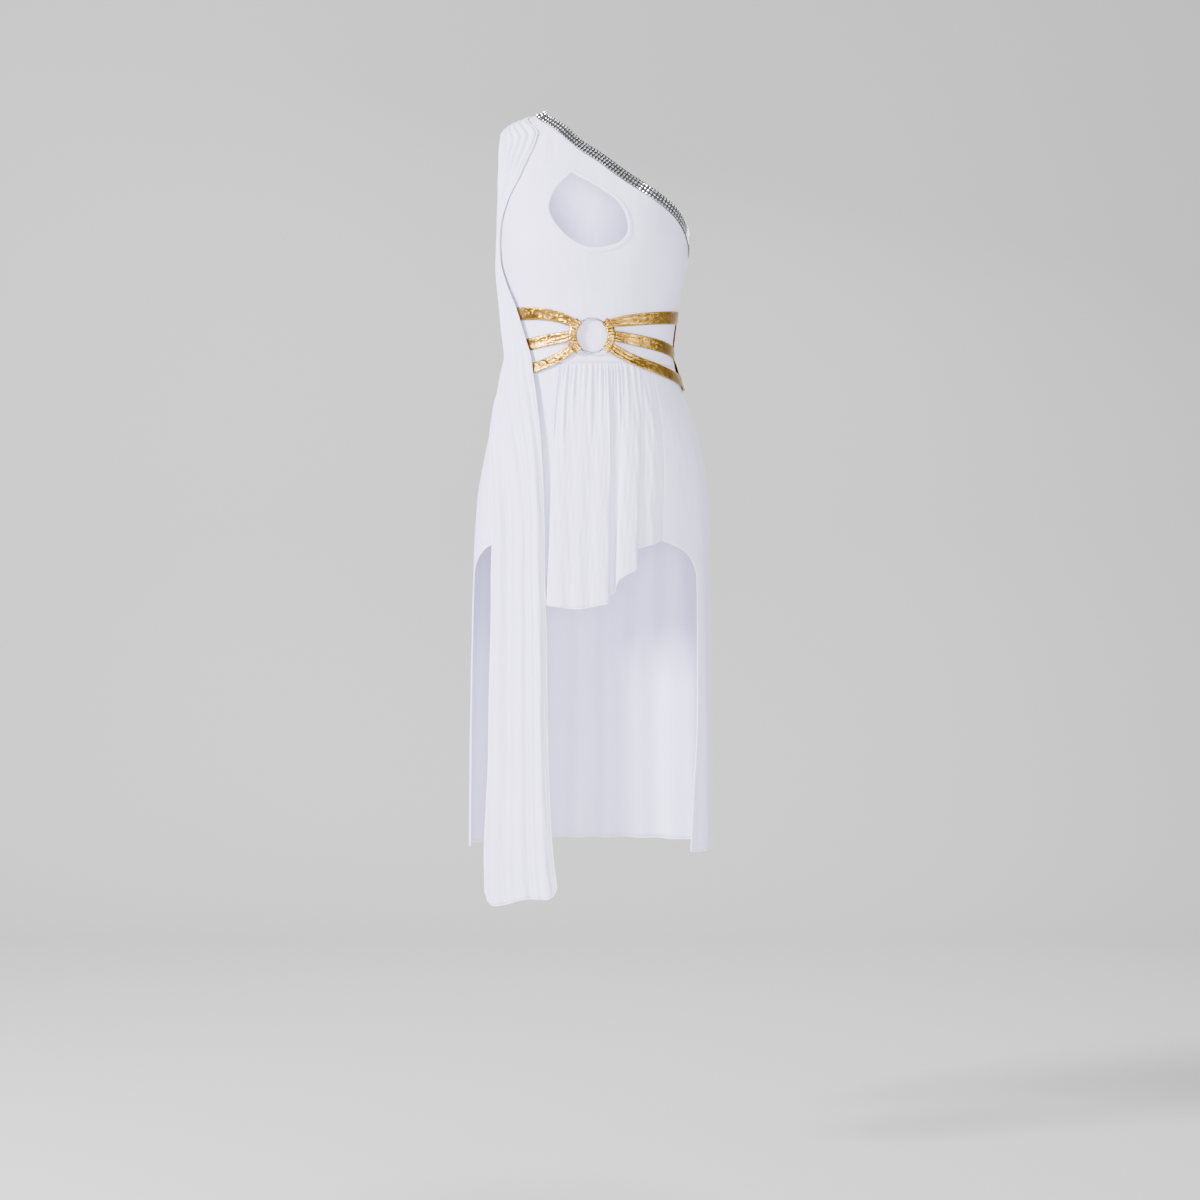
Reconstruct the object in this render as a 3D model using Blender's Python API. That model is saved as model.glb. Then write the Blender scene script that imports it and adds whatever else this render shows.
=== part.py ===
# One-shoulder dress with a ring belt, in metres. +Z is up, the front faces -Y and +X is the photo's right.
# Every panel is a thin wall laid on one general figure. Folds and gathers move the wall out from the figure.
# Angles are in degrees round the figure: 180 is its shoulder side, 270 the front, 360 the bare-shoulder side.
import bpy
import numpy as np
from mathutils import Matrix, Vector

# Driving dimensions
CLOTH = 0.0012
TRIM_THICKNESS = 0.0010
FOIL = 0.0010
LAY_GAP = 0.0004
TRIM_GAP = 0.0009
BELT_GAP = 0.0014
SEAM_ANGLE = 0.12
SEAM_HEIGHT = 0.0002
HELD_AT = np.array((-0.107, 0.0, -0.0095))
SIDE_SHOULDER = 180.0
SIDE_BARE = 360.0
WAIST = -0.356
BACK_HEM = -1.029
TRIM_WIDTH = 0.0155
NECK_STEPS = 26
NECK_CROWDING = 0.35

RING_CENTRE = (-0.0109, -0.0898, -0.3196)
RING_DIAMETER = 0.050
RING_WIRE = 0.0026
RING_STEPS = 30
RING_SIDES = 6
TAB_BORE = 0.0034
TAB_BODY = 0.0030
TAB_TAIL = 0.0060
TAB_REACH = 50.0
TAB_STEPS = 7
TAB_SIDES = 8

STRAP_WIDTH = 0.017
STRAP_RING_WIDTH = 0.0125
STRAP_STEPS = 10
STRAP_RISE = 0.0032
STRAP_END_GAP = 0.0004
BACK_BAND = (-0.276, -0.389)

# Sections of the figure from the hem up.
# height, middle, half_width, front_depth, back_depth, squareness
FIGURE = (
    (-1.035, -0.0130, 0.1688, 0.118, 0.130, 2.40),
    (-0.820, -0.0124, 0.1675, 0.115, 0.122, 2.40),
    (-0.700, -0.0122, 0.1655, 0.112, 0.119, 2.35),
    (-0.600, -0.0110, 0.1635, 0.108, 0.118, 2.30),
    (-0.540, -0.0104, 0.1600, 0.106, 0.118, 2.30),
    (-0.499, -0.0096, 0.1543, 0.104, 0.115, 2.30),
    (-0.458, -0.0095, 0.1460, 0.101, 0.109, 2.30),
    (-0.426, -0.0098, 0.1372, 0.098, 0.101, 2.25),
    (-0.388, -0.0100, 0.1240, 0.092, 0.090, 2.20),
    (-0.332, -0.0085, 0.1093, 0.083, 0.073, 2.20),
    (-0.275, -0.0080, 0.1160, 0.090, 0.077, 2.30),
    (-0.238, -0.0085, 0.1245, 0.100, 0.084, 2.40),
    (-0.207, -0.0080, 0.1295, 0.109, 0.090, 2.50),
    (-0.180, -0.0075, 0.1300, 0.112, 0.092, 2.60),
    (-0.158, -0.0065, 0.1300, 0.109, 0.093, 2.60),
    (-0.125, -0.0035, 0.1315, 0.099, 0.090, 2.50),
    (-0.090, -0.0015, 0.1350, 0.084, 0.083, 2.35),
    (-0.050, 0.0000, 0.1375, 0.064, 0.071, 2.20),
    (-0.032, 0.0005, 0.1365, 0.056, 0.064, 2.10),
    (-0.022, 0.0000, 0.1300, 0.051, 0.058, 2.05),
    (-0.011, 0.0000, 0.1100, 0.046, 0.050, 2.00),
    (0.000, 0.0000, 0.0820, 0.040, 0.040, 2.00),
    (0.006, 0.0000, 0.0640, 0.034, 0.034, 2.00),
)

# The neck edge, once round from the shoulder over the front, under the bare arm and up the back.
# angle, height
NECKLINE = (
    (180.0, 0.0036),
    (184.0, 0.0033),
    (199.0, -0.0034),
    (219.0, -0.0182),
    (248.0, -0.0465),
    (276.0, -0.0699),
    (302.0, -0.1036),
    (324.0, -0.1360),
    (348.0, -0.1700),
    (366.0, -0.1830),
    (390.0, -0.1640),
    (430.0, -0.1060),
    (475.0, -0.0520),
    (505.0, -0.0240),
    (522.0, -0.0070),
    (536.0, 0.0033),
    (540.0, 0.0036),
)

# Half of the armhole edge, from its lowest point up to the shoulder end. reach is the angle from the side seam.
# reach, height
ARMHOLE = (
    (0.0, -0.1660),
    (7.0, -0.1600),
    (14.0, -0.1400),
    (19.0, -0.1050),
    (18.0, -0.0700),
    (9.0, -0.0470),
    (0.0, -0.0310),
)

# The keyhole edge and its bound band, from a centre on the front.
KEYHOLE_CENTRE = (265.3, -0.1527)
METRES_PER_DEGREE = 0.0021
# direction, radius, band_width
KEYHOLE = (
    (0.0, 0.0537, 0.0055),
    (20.0, 0.0461, 0.0045),
    (37.0, 0.0405, 0.0040),
    (57.0, 0.0372, 0.0040),
    (80.0, 0.0390, 0.0040),
    (107.0, 0.0497, 0.0045),
    (119.0, 0.0610, 0.0060),
    (124.5, 0.0700, 0.0085),
    (131.0, 0.0692, 0.0085),
    (150.0, 0.0674, 0.0085),
    (165.0, 0.0634, 0.0088),
    (184.0, 0.0543, 0.0088),
    (200.0, 0.0482, 0.0088),
    (218.0, 0.0446, 0.0086),
    (240.0, 0.0440, 0.0085),
    (262.0, 0.0465, 0.0080),
    (293.0, 0.0525, 0.0070),
    (312.0, 0.0598, 0.0062),
    (322.0, 0.0636, 0.0059),
    (331.0, 0.0642, 0.0058),
    (342.0, 0.0609, 0.0056),
    (360.0, 0.0537, 0.0055),
)

# Grid lines of the front skirt panel from its shoulder-side seam to its bare-side seam.
# proud is how far the cloth stands out at the hem, where folds meet in steep steps.
# waist_angle, hem_angle, proud, hem_height
SKIRT_LINES = (
    (222.0, 224.5, 0.0000, -0.5996),
    (228.0, 229.0, 0.0010, -0.612),
    (234.0, 235.0, 0.0015, -0.632),
    (237.0, 239.0, 0.0010, -0.648),
    (239.5, 241.6, 0.0014, -0.660),
    (241.0, 242.6, 0.0060, -0.676),
    (243.0, 244.2, 0.0112, -0.688),
    (248.0, 249.0, 0.0135, -0.692),
    (254.0, 255.0, 0.0128, -0.694),
    (262.0, 261.0, 0.0142, -0.695),
    (270.0, 268.0, 0.0130, -0.693),
    (277.0, 274.5, 0.0140, -0.690),
    (281.5, 279.2, 0.0128, -0.688),
    (284.5, 281.2, 0.0085, -0.686),
    (286.5, 282.2, 0.0035, -0.680),
    (289.0, 284.2, 0.0012, -0.675),
    (291.5, 286.8, 0.0016, -0.670),
    (294.0, 288.4, 0.0050, -0.662),
    (296.5, 290.0, 0.0092, -0.654),
    (300.0, 293.5, 0.0106, -0.648),
    (303.5, 297.4, 0.0096, -0.643),
    (306.0, 299.4, 0.0060, -0.636),
    (308.0, 300.6, 0.0022, -0.622),
    (310.0, 302.4, 0.0010, -0.614),
    (312.5, 305.2, 0.0026, -0.610),
    (315.5, 309.0, 0.0038, -0.607),
    (318.5, 312.2, 0.0018, -0.604),
    (322.0, 315.5, 0.0000, -0.5996),
)
FRONT_ROWS = (0.0, 0.04, 0.10, 0.18, 0.28, 0.42, 0.58, 0.74, 0.88, 1.0)
GATHER_HEIGHT = 0.0013
GATHER_REACH = 0.34
SEAM_BLEND = 3.0
STEPS_PER_LINE = 2

# The bare-side edge of the back skirt panel: seam, arch and free tail edge.
# height, angle
BACK_EDGE = (
    (-0.3562, 322.0),
    (-0.4720, 318.9),
    (-0.5980, 315.6),
    (-0.6000, 315.5),
    (-0.6036, 319.5),
    (-0.6114, 326.7),
    (-0.6214, 332.0),
    (-0.6330, 335.0),
    (-0.6500, 337.2),
    (-0.7000, 337.0),
    (-0.7800, 336.0),
    (-0.8620, 335.0),
    (-0.9400, 332.5),
    (-1.0300, 330.0),
)

# The same panel's shoulder-side edge, which runs further back and leaves more of the tail's inside in view.
# height, angle
SHOULDER_EDGE = (
    (-0.3562, 578.0),
    (-0.4720, 581.1),
    (-0.5980, 584.4),
    (-0.6000, 584.5),
    (-0.6018, 574.0),
    (-0.6060, 565.0),
    (-0.6157, 558.0),
    (-0.6307, 550.5),
    (-0.6420, 546.5),
    (-0.6600, 544.0),
    (-0.7000, 543.0),
    (-0.7800, 542.6),
    (-0.8620, 542.4),
    (-0.9400, 542.0),
    (-1.0300, 541.5),
)
BACK_HEIGHTS = (-0.3562, -0.372, -0.392, -0.425, -0.470, -0.535, -0.580, -0.600, -0.6018, -0.6045, -0.6114,
                -0.6214, -0.634, -0.655, -0.730, -0.830, -0.930, -1.029)
BACK_COLUMNS = 50
EDGE_REACH = 4.0

# Soft flutes of the back skirt panel.
# angle, half_width, proud_at_hip, proud_at_hem
BACK_FLUTES = (
    (341.0, 7.0, 0.0005, 0.0038),
    (357.0, 8.5, 0.0008, 0.0022),
    (375.0, 8.5, 0.0020, 0.0070),
    (393.0, 9.0, 0.0026, 0.0105),
    (411.0, 8.5, 0.0030, 0.0085),
    (430.0, 9.5, 0.0034, 0.0120),
    (449.0, 9.0, 0.0030, 0.0095),
    (468.0, 9.5, 0.0034, 0.0115),
    (487.0, 9.0, 0.0028, 0.0090),
    (505.0, 8.5, 0.0024, 0.0100),
    (523.0, 8.5, 0.0018, 0.0065),
    (538.0, 6.5, 0.0006, 0.0022),
)
HIP = -0.470

# Rows of the shoulder drape from the ridge of the shoulder down. outer is its edge by the arm.
# outer_angle, outer_height, inner_angle, inner_height, outer_out, inner_out, pleat_scale
DRAPE_ROWS = (
    (181.2, -0.0280, 181.2, -0.0030, 0.0018, 0.0018, 0.35),
    (181.5, -0.0380, 198.0, -0.0190, 0.0024, 0.0028, 1.00),
    (181.5, -0.0550, 208.0, -0.0360, 0.0026, 0.0028, 1.00),
    (181.0, -0.0800, 210.0, -0.0640, 0.0032, 0.0028, 1.00),
    (180.0, -0.1080, 209.0, -0.0960, 0.0048, 0.0030, 0.90),
    (177.5, -0.1400, 201.0, -0.1340, 0.0070, 0.0036, 0.60),
    (175.5, -0.1730, 191.0, -0.1730, 0.0074, 0.0036, 0.35),
    (175.5, -0.2040, 194.0, -0.2040, 0.0080, 0.0040, 0.35),
    (176.5, -0.2360, 199.5, -0.2360, 0.0095, 0.0055, 0.50),
    (177.5, -0.2740, 205.0, -0.2740, 0.0130, 0.0068, 0.70),
    (178.5, -0.3190, 210.0, -0.3190, 0.0145, 0.0070, 0.85),
    (180.0, -0.3560, 218.0, -0.3560, 0.0120, 0.0076, 0.90),
    (184.0, -0.3950, 226.0, -0.3950, 0.0062, 0.0082, 0.80),
    (192.5, -0.4400, 231.5, -0.4400, 0.0052, 0.0085, 0.80),
    (203.0, -0.4950, 235.0, -0.4950, 0.0070, 0.0085, 0.90),
    (208.0, -0.5600, 237.6, -0.5600, 0.0085, 0.0090, 1.00),
    (209.5, -0.6400, 239.2, -0.6400, 0.0090, 0.0100, 1.00),
    (211.0, -0.7400, 241.6, -0.7400, 0.0090, 0.0100, 1.00),
    (211.0, -0.8900, 243.2, -0.8900, 0.0090, 0.0100, 1.00),
    (209.3, -1.0250, 246.0, -1.0150, 0.0090, 0.0100, 1.00),
    (209.6, -1.0824, 249.0, -1.0741, 0.0090, 0.0100, 1.00),
)
DRAPE_COLUMNS = 21
DRAPE_SHOULDER_ROWS = 6
DRAPE_SHOULDER_STEPS = 3
DRAPE_STEPS = 1

# Pleats of the drape, by the share of its width from the outer edge.
# place_at_shoulder, place_at_hem, half_at_shoulder, half_at_hem, proud_at_shoulder, proud_at_hem
DRAPE_PLEATS = (
    (0.10, 0.17, 0.100, 0.160, 0.0024, 0.0058),
    (0.30, 0.36, 0.100, 0.080, 0.0036, 0.0010),
    (0.50, 0.55, 0.100, 0.110, 0.0036, 0.0034),
    (0.70, 0.72, 0.100, 0.070, 0.0034, 0.0008),
    (0.89, 0.89, 0.100, 0.120, 0.0028, 0.0056),
)

# The drape's lower edge.
# share, height
DRAPE_HEM = (
    (0.00, -1.0824),
    (0.06, -1.0950),
    (0.18, -1.1000),
    (0.34, -1.0965),
    (0.47, -1.0915),
    (0.62, -1.0890),
    (0.84, -1.0888),
    (0.94, -1.0845),
    (1.00, -1.0741),
)
DRAPE_HEM_ROWS = 1.6

# Belt straps from the ring outwards. side is 1 on the bare side and -1 on the shoulder side.
# name, side, ring_direction, middle_angle, middle_height, end_height
STRAPS = (
    ("right_top", 1, 35.0, 315.0, -0.2940, -0.2858),
    ("right_middle", 1, 0.0, 315.0, -0.3262, -0.3380),
    ("right_low", 1, -33.0, 315.0, -0.3585, -0.3798),
    ("left_top", -1, 35.0, 315.0, -0.2875, -0.2845),
    ("left_middle", -1, 0.0, 315.0, -0.3250, -0.3350),
    ("left_low", -1, -33.0, 315.0, -0.3600, -0.3800),
)
STRAP_END_ANGLE = 357.0
BAND_START = 357.2
BAND_STEPS = 24

# name: red, green, blue, metallic, roughness
FINISHES = {
    "white_jersey": (0.86, 0.84, 0.93, 0.0, 0.75),
    "gold_foil": (0.78, 0.55, 0.19, 0.9, 0.28),
    "silver_ring": (0.80, 0.80, 0.82, 1.0, 0.15),
    "crystal_band": (0.78, 0.78, 0.80, 0.6, 0.25),
}


# Smooth curves and the figure
def smooth(keys, values, at):
    """A smooth curve through the values, with no overshoot between rows."""
    keys = np.asarray(keys, float)
    values = np.asarray(values, float)
    gaps = np.diff(keys)
    slopes = np.diff(values) / gaps
    tangent = np.empty_like(values)
    tangent[0], tangent[-1] = slopes[0], slopes[-1]
    same_way = slopes[:-1] * slopes[1:] > 0.0
    total = np.where(same_way, slopes[:-1] + slopes[1:], 1.0)
    tangent[1:-1] = np.where(same_way, 2.0 * slopes[:-1] * slopes[1:] / total, 0.0)
    index = np.clip(np.searchsorted(keys, at) - 1, 0, len(gaps) - 1)
    step = gaps[index]
    part = np.clip((at - keys[index]) / step, 0.0, 1.0)
    rest = 1.0 - part
    return ((1.0 + 2.0 * part) * rest ** 2 * values[index] + part * rest ** 2 * step * tangent[index]
            + part ** 2 * (3.0 - 2.0 * part) * values[index + 1] - part ** 2 * rest * step * tangent[index + 1])


def table_curve(table, key, value, at):
    rows = np.array(table)
    return smooth(rows[:, key], rows[:, value], np.asarray(at, float))


def ease(value):
    part = np.clip(value, 0.0, 1.0)
    return part * part * (3.0 - 2.0 * part)


def figure_point(angle, height):
    """The figure's own surface, a superellipse at each height."""
    middle, half_width, front, back, square = (table_curve(FIGURE, 0, k, height) for k in range(1, 6))
    turn = np.radians(angle)
    depth = np.where(np.sin(turn) < 0.0, front, back)
    reach = (np.abs(np.cos(turn) / half_width) ** square + np.abs(np.sin(turn) / depth) ** square) ** (-1.0 / square)
    return np.stack((middle + reach * np.cos(turn), reach * np.sin(turn), height + 0.0 * reach), axis=-1)


def on_figure(angle, height, out):
    """Points moved out from the figure, square to its surface."""
    angle, height, out = np.broadcast_arrays(*(np.asarray(v, float) for v in (angle, height, out)))
    across = figure_point(angle + 0.5, height) - figure_point(angle - 0.5, height)
    upward = figure_point(angle, height + 0.001) - figure_point(angle, height - 0.001)
    normal = np.cross(across, upward)
    normal /= np.linalg.norm(normal, axis=-1, keepdims=True)
    return figure_point(angle, height) + out[..., None] * normal


# Making objects
def finish_material(name):
    material = bpy.data.materials.get(name)
    if material is None:
        red, green, blue, metallic, roughness = FINISHES[name]
        material = bpy.data.materials.new(name)
        material.use_nodes = True
        shader = material.node_tree.nodes["Principled BSDF"]
        shader.inputs["Base Color"].default_value = (red, green, blue, 1.0)
        shader.inputs["Metallic"].default_value = metallic
        shader.inputs["Roughness"].default_value = roughness
    return material


def add_object(name, vertices, faces, finish):
    mesh = bpy.data.meshes.new(name)
    mesh.from_pydata([tuple(v) for v in vertices], [], faces)
    mesh.shade_smooth()
    mesh.materials.append(finish_material(finish))
    piece = bpy.data.objects.new(name, mesh)
    bpy.context.collection.objects.link(piece)
    return piece


def grid_faces(rows, columns, loop):
    faces = []
    for row in range(rows - 1):
        for column in range(columns if loop else columns - 1):
            here = row * columns + column
            beside = row * columns + (column + 1) % columns
            faces.append((here, here + columns, beside + columns, beside))
    return faces


def add_wall(name, points, finish, thickness=CLOTH, loop=False):
    """A closed wall. Rows run down or outwards and columns counterclockwise, so that faces look out."""
    rows, columns = points.shape[:2]
    piece = add_object(name, points.reshape(-1, 3) - HELD_AT, grid_faces(rows, columns, loop), finish)
    piece.modifiers.new("same diagonals", "TRIANGULATE").quad_method = "FIXED"
    wall = piece.modifiers.new("cloth thickness", "SOLIDIFY")
    wall.thickness = thickness
    wall.offset = 1.0
    wall.use_quality_normals = True
    return piece


# Bodice
def neck_height(angle):
    turn = (np.asarray(angle, float) - SIDE_SHOULDER) % 360.0 + SIDE_SHOULDER
    return table_curve(NECKLINE, 0, 1, turn)


def neck_angles(first, last):
    """Angles along half the neck edge, closer together at the shoulder and under the bare arm."""
    share = np.linspace(0.0, 1.0, NECK_STEPS + 1)
    return first + (last - first) * (share - NECK_CROWDING * np.sin(2.0 * np.pi * share) / (2.0 * np.pi))


def armhole_edge(share, side):
    """side is 1 for the front, where angles grow from the side seam, and -1 for the back."""
    steps = np.linspace(0.0, 1.0, len(ARMHOLE))
    table = np.array(ARMHOLE)
    angle = SIDE_SHOULDER + side * (smooth(steps, table[:, 0], share) + SEAM_ANGLE)
    return np.stack((angle, smooth(steps, table[:, 1], share)), axis=-1)


def straight(start, end, share):
    return np.array(start) + (np.array(end) - np.array(start)) * np.asarray(share)[:, None]


def front_outline():
    """The front panel's edge as angle and height, counterclockwise from the bare-side neck corner."""
    neck = neck_angles(SIDE_BARE - SEAM_ANGLE, SIDE_SHOULDER + SEAM_ANGLE)
    low = WAIST + SEAM_HEIGHT
    left = SIDE_SHOULDER + SEAM_ANGLE
    right = SIDE_BARE - SEAM_ANGLE
    runs = (
        np.stack((neck, neck_height(neck)), axis=-1),
        straight((left, neck_height(left)), (left, ARMHOLE[-1][1]), np.linspace(0.0, 1.0, 4)),
        armhole_edge(np.linspace(1.0, 0.0, 11), 1),
        straight((left, ARMHOLE[0][1]), (left, low), np.linspace(0.0, 1.0, 13)),
        straight((left, low), (right, low), np.linspace(0.0, 1.0, 17)),
        straight((right, low), (right, neck_height(right)), np.linspace(0.0, 1.0, 10)),
    )
    return np.concatenate([run[:-1] for run in runs])


def keyhole_rings(outline):
    """The keyhole edge and the outer edge of its band, one point for each outline point."""
    centre = np.array(KEYHOLE_CENTRE)
    scale = np.array((METRES_PER_DEGREE, 1.0))
    spokes = (outline - centre) * scale
    direction = np.degrees(np.arctan2(spokes[:, 1], spokes[:, 0])) % 360.0
    radius = table_curve(KEYHOLE, 0, 1, direction)
    band = table_curve(KEYHOLE, 0, 2, direction)
    unit = spokes / np.linalg.norm(spokes, axis=1, keepdims=True)
    return centre + unit * radius[:, None] / scale, centre + unit * (radius + band)[:, None] / scale


def add_bodice_front():
    outline = front_outline()
    edge, band = keyhole_rings(outline)
    shares = (0.27, 0.52, 0.70, 0.82, 0.91, 1.0)
    rows = np.stack([edge, band] + [band + (outline - band) * share for share in shares])
    add_wall("bodice_front", on_figure(rows[..., 0], rows[..., 1], 0.0), "white_jersey", loop=True)
    binding = np.stack((edge, band))
    lifted = on_figure(binding[..., 0], binding[..., 1], CLOTH + LAY_GAP)
    add_wall("keyhole_binding", lifted, "white_jersey", TRIM_THICKNESS, loop=True)


def patch(top, bottom, left, right):
    """A surface between four edges. top and bottom run with the columns, left and right down the rows."""
    across = np.linspace(0.0, 1.0, len(top))[None, :, None]
    down = np.linspace(0.0, 1.0, len(left))[:, None, None]
    ruled = (1.0 - down) * top[None] + down * bottom[None] + (1.0 - across) * left[:, None] + across * right[:, None]
    corners = ((1.0 - down) * ((1.0 - across) * top[0] + across * top[-1])
               + down * ((1.0 - across) * bottom[0] + across * bottom[-1]))
    return ruled - corners


def add_bodice_back():
    first = SIDE_BARE + SEAM_ANGLE
    last = SIDE_BARE + SIDE_SHOULDER - SEAM_ANGLE
    low = WAIST + SEAM_HEIGHT
    neck = neck_angles(first, last)
    top = np.stack((neck, neck_height(neck)), axis=-1)
    bottom = straight((first, low), (last, low), np.linspace(0.0, 1.0, len(neck)))
    ridge = straight((last, neck_height(last)), (last, ARMHOLE[-1][1]), np.linspace(0.0, 1.0, 3))
    armhole = armhole_edge(np.linspace(1.0, 0.0, 8), -1) + (SIDE_BARE, 0.0)
    seam = straight((last, ARMHOLE[0][1]), (last, low), np.linspace(0.0, 1.0, 10))
    shoulder_side = np.concatenate((ridge[:-1], armhole[:-1], seam))
    bare_side = straight(top[0], bottom[0], np.linspace(0.0, 1.0, len(shoulder_side)))
    grid = patch(top, bottom, bare_side, shoulder_side)
    add_wall("bodice_back", on_figure(grid[..., 0], grid[..., 1], 0.0), "white_jersey")


def slide(angle, height, direction, distance, steps=4):
    """Angles and heights after moving along the figure, as close to a direction as its surface allows."""
    for _ in range(steps):
        across = figure_point(angle + 0.5, height) - figure_point(angle - 0.5, height)
        upward = (figure_point(angle, height + 0.0005) - figure_point(angle, height - 0.0005)) * 1000.0
        a, b, c = ((p * q).sum(axis=-1) for p, q in ((across, across), (across, upward), (upward, upward)))
        d, e = (across * direction).sum(axis=-1), (upward * direction).sum(axis=-1)
        scale = a * c - b * b
        turn, rise = (c * d - b * e) / scale, (a * e - b * d) / scale
        length = np.linalg.norm(across * turn[..., None] + upward * rise[..., None], axis=-1)
        angle = angle + turn / length * distance / steps
        height = height + rise / length * distance / steps
    return angle, height


def in_from_neck(angle, width):
    """Angles and heights a set width in from the neck edge."""
    edge = figure_point(angle, neck_height(angle))
    along = figure_point(angle + 0.5, neck_height(angle + 0.5)) - figure_point(angle - 0.5, neck_height(angle - 0.5))
    normal = on_figure(angle, neck_height(angle), 1.0) - edge
    return slide(angle, neck_height(angle), np.cross(along, normal), width)


def add_neck_trim():
    front = neck_angles(SIDE_SHOULDER, SIDE_BARE)
    back = neck_angles(SIDE_BARE, SIDE_BARE + SIDE_SHOULDER)
    angle = np.concatenate((front[:-1], back[:-1]))
    places = [in_from_neck(angle, width) for width in (0.0, TRIM_WIDTH)]
    rows = [on_figure(turn, height, CLOTH + TRIM_GAP) for turn, height in places]
    add_wall("neck_trim", np.stack(rows), "crystal_band", TRIM_THICKNESS, loop=True)


# Skirt
def seam_angle(height, edge=BACK_EDGE):
    """An edge of the back skirt panel, which the front panel meets above the arch."""
    table = np.array(edge)[::-1]
    return smooth(table[:, 0], table[:, 1], height)


def skirt_front_points(rows, steps):
    """The front panel: its grid lines spread from gathers at the waist into folds at the hem."""
    lines = np.array(SKIRT_LINES)
    places = np.arange(len(lines), dtype=float)
    last = places[-1]
    at = np.linspace(0.0, last, (len(lines) - 1) * steps + 1)
    waist_angle, hem_angle, proud, hem = (smooth(places, lines[:, k], at) for k in range(4))
    down = np.array(rows)[:, None]
    top = WAIST - SEAM_HEIGHT
    height = top + (hem - top) * down
    angle = waist_angle + (hem_angle - waist_angle) * ease(down)
    bare_seam = np.minimum(seam_angle(height[:, -1:]), seam_angle(np.array((top,)))) - SEAM_ANGLE
    angle = angle + (bare_seam - angle[:, -1:]) * np.clip(at - last + SEAM_BLEND, 0.0, SEAM_BLEND) / SEAM_BLEND
    shoulder_seam = 3.0 * SIDE_SHOULDER - bare_seam
    angle = angle + (shoulder_seam - angle[:, :1]) * np.clip(SEAM_BLEND - at, 0.0, SEAM_BLEND) / SEAM_BLEND
    ripple = 0.5 - 0.5 * np.cos(np.pi * at)
    gather = GATHER_HEIGHT * ripple * ease(down / 0.06) * (1.0 - ease(down / GATHER_REACH))
    middle_part = ease((at - 1.0) / 4.0) * ease((last - 6.0 - at) / 5.0)
    return on_figure(angle, height, proud * down ** 1.3 + gather * middle_part)


def mirrored(angle):
    return 3.0 * SIDE_SHOULDER - angle + SIDE_BARE


def back_angles(height, share):
    """Angles of the back panel's columns. Near a free edge they bend with it, and elsewhere they stay upright."""
    first = BACK_EDGE[0][1]
    last = SHOULDER_EDGE[0][1]
    from_bare = (seam_angle(height) - first + SEAM_ANGLE) * (1.0 - share) ** EDGE_REACH
    from_shoulder = (seam_angle(height, SHOULDER_EDGE) - last - SEAM_ANGLE) * share ** EDGE_REACH
    return first + (last - first) * share + from_bare + from_shoulder


def back_proud(angle, height):
    total = np.zeros(np.broadcast(angle, height).shape)
    hip_share = ease((WAIST - 0.03 - height) / (WAIST - 0.03 - HIP))
    hem_share = np.clip((HIP - height) / (HIP - BACK_HEM), 0.0, 1.0)
    for middle, half_width, at_hip, at_hem in BACK_FLUTES:
        bump = 1.0 - ease(np.abs(angle - middle) / half_width)
        total += bump * (at_hip * hip_share * (1.0 - hem_share) + at_hem * hem_share)
    return total


def skirt_back_points(heights, columns):
    height = np.array(heights)[:, None]
    share = np.linspace(0.0, 1.0, columns + 1)[None, :]
    angle = back_angles(height, share)
    return on_figure(angle, height + 0.0 * angle, back_proud(angle, height))


# Shoulder drape
def drape_points(shoulder_steps, steps, columns):
    rows = np.array(DRAPE_ROWS)
    places = np.arange(len(rows), dtype=float)
    turn_over = np.linspace(0.0, DRAPE_SHOULDER_ROWS, DRAPE_SHOULDER_ROWS * shoulder_steps, endpoint=False)
    hanging = np.linspace(DRAPE_SHOULDER_ROWS, places[-1], (len(rows) - 1 - DRAPE_SHOULDER_ROWS) * steps + 1)
    at = np.concatenate((turn_over, hanging))
    outer_angle, outer_height, inner_angle, inner_height, outer_out, inner_out, scale = (
        smooth(places, rows[:, k], at)[:, None] for k in range(7))
    share = np.linspace(0.0, 1.0, columns + 1)[None, :]
    down = (at / places[-1])[:, None]
    proud = 0.0
    lower = ease((down - 0.35) / 0.35)
    for at_shoulder, at_hem, half, hem_half, high, hem_high in DRAPE_PLEATS:
        middle = at_shoulder + (at_hem - at_shoulder) * down
        half_width = half + (hem_half - half) * lower
        tall = high + (hem_high - high) * lower
        proud = proud + tall * scale * (1.0 - ease(np.abs(share - middle) / half_width))
    angle = outer_angle + (inner_angle - outer_angle) * share
    height = outer_height + (inner_height - outer_height) * share
    level = outer_height[-1] + (inner_height[-1] - outer_height[-1]) * share
    near_hem = ease((at[:, None] - places[-1] + DRAPE_HEM_ROWS) / DRAPE_HEM_ROWS)
    height = height + (table_curve(DRAPE_HEM, 0, 1, share) - level) * near_hem
    return on_figure(angle, height, outer_out + (inner_out - outer_out) * share + proud)


# Belt
def belt_out(height):
    """The belt lies close on the bodice and a little further out over the gathered skirt."""
    return CLOTH + BELT_GAP + 0.0018 * ease((-0.345 - height) / 0.020)


def ring_side_angle(x, height):
    middle, half_width, front, square = (table_curve(FIGURE, 0, k, height) for k in (1, 2, 3, 5))
    depth = -front * (1.0 - np.abs((x - middle) / half_width) ** square) ** (1.0 / square)
    return np.degrees(np.arctan2(depth, x - middle)) % 360.0


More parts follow.
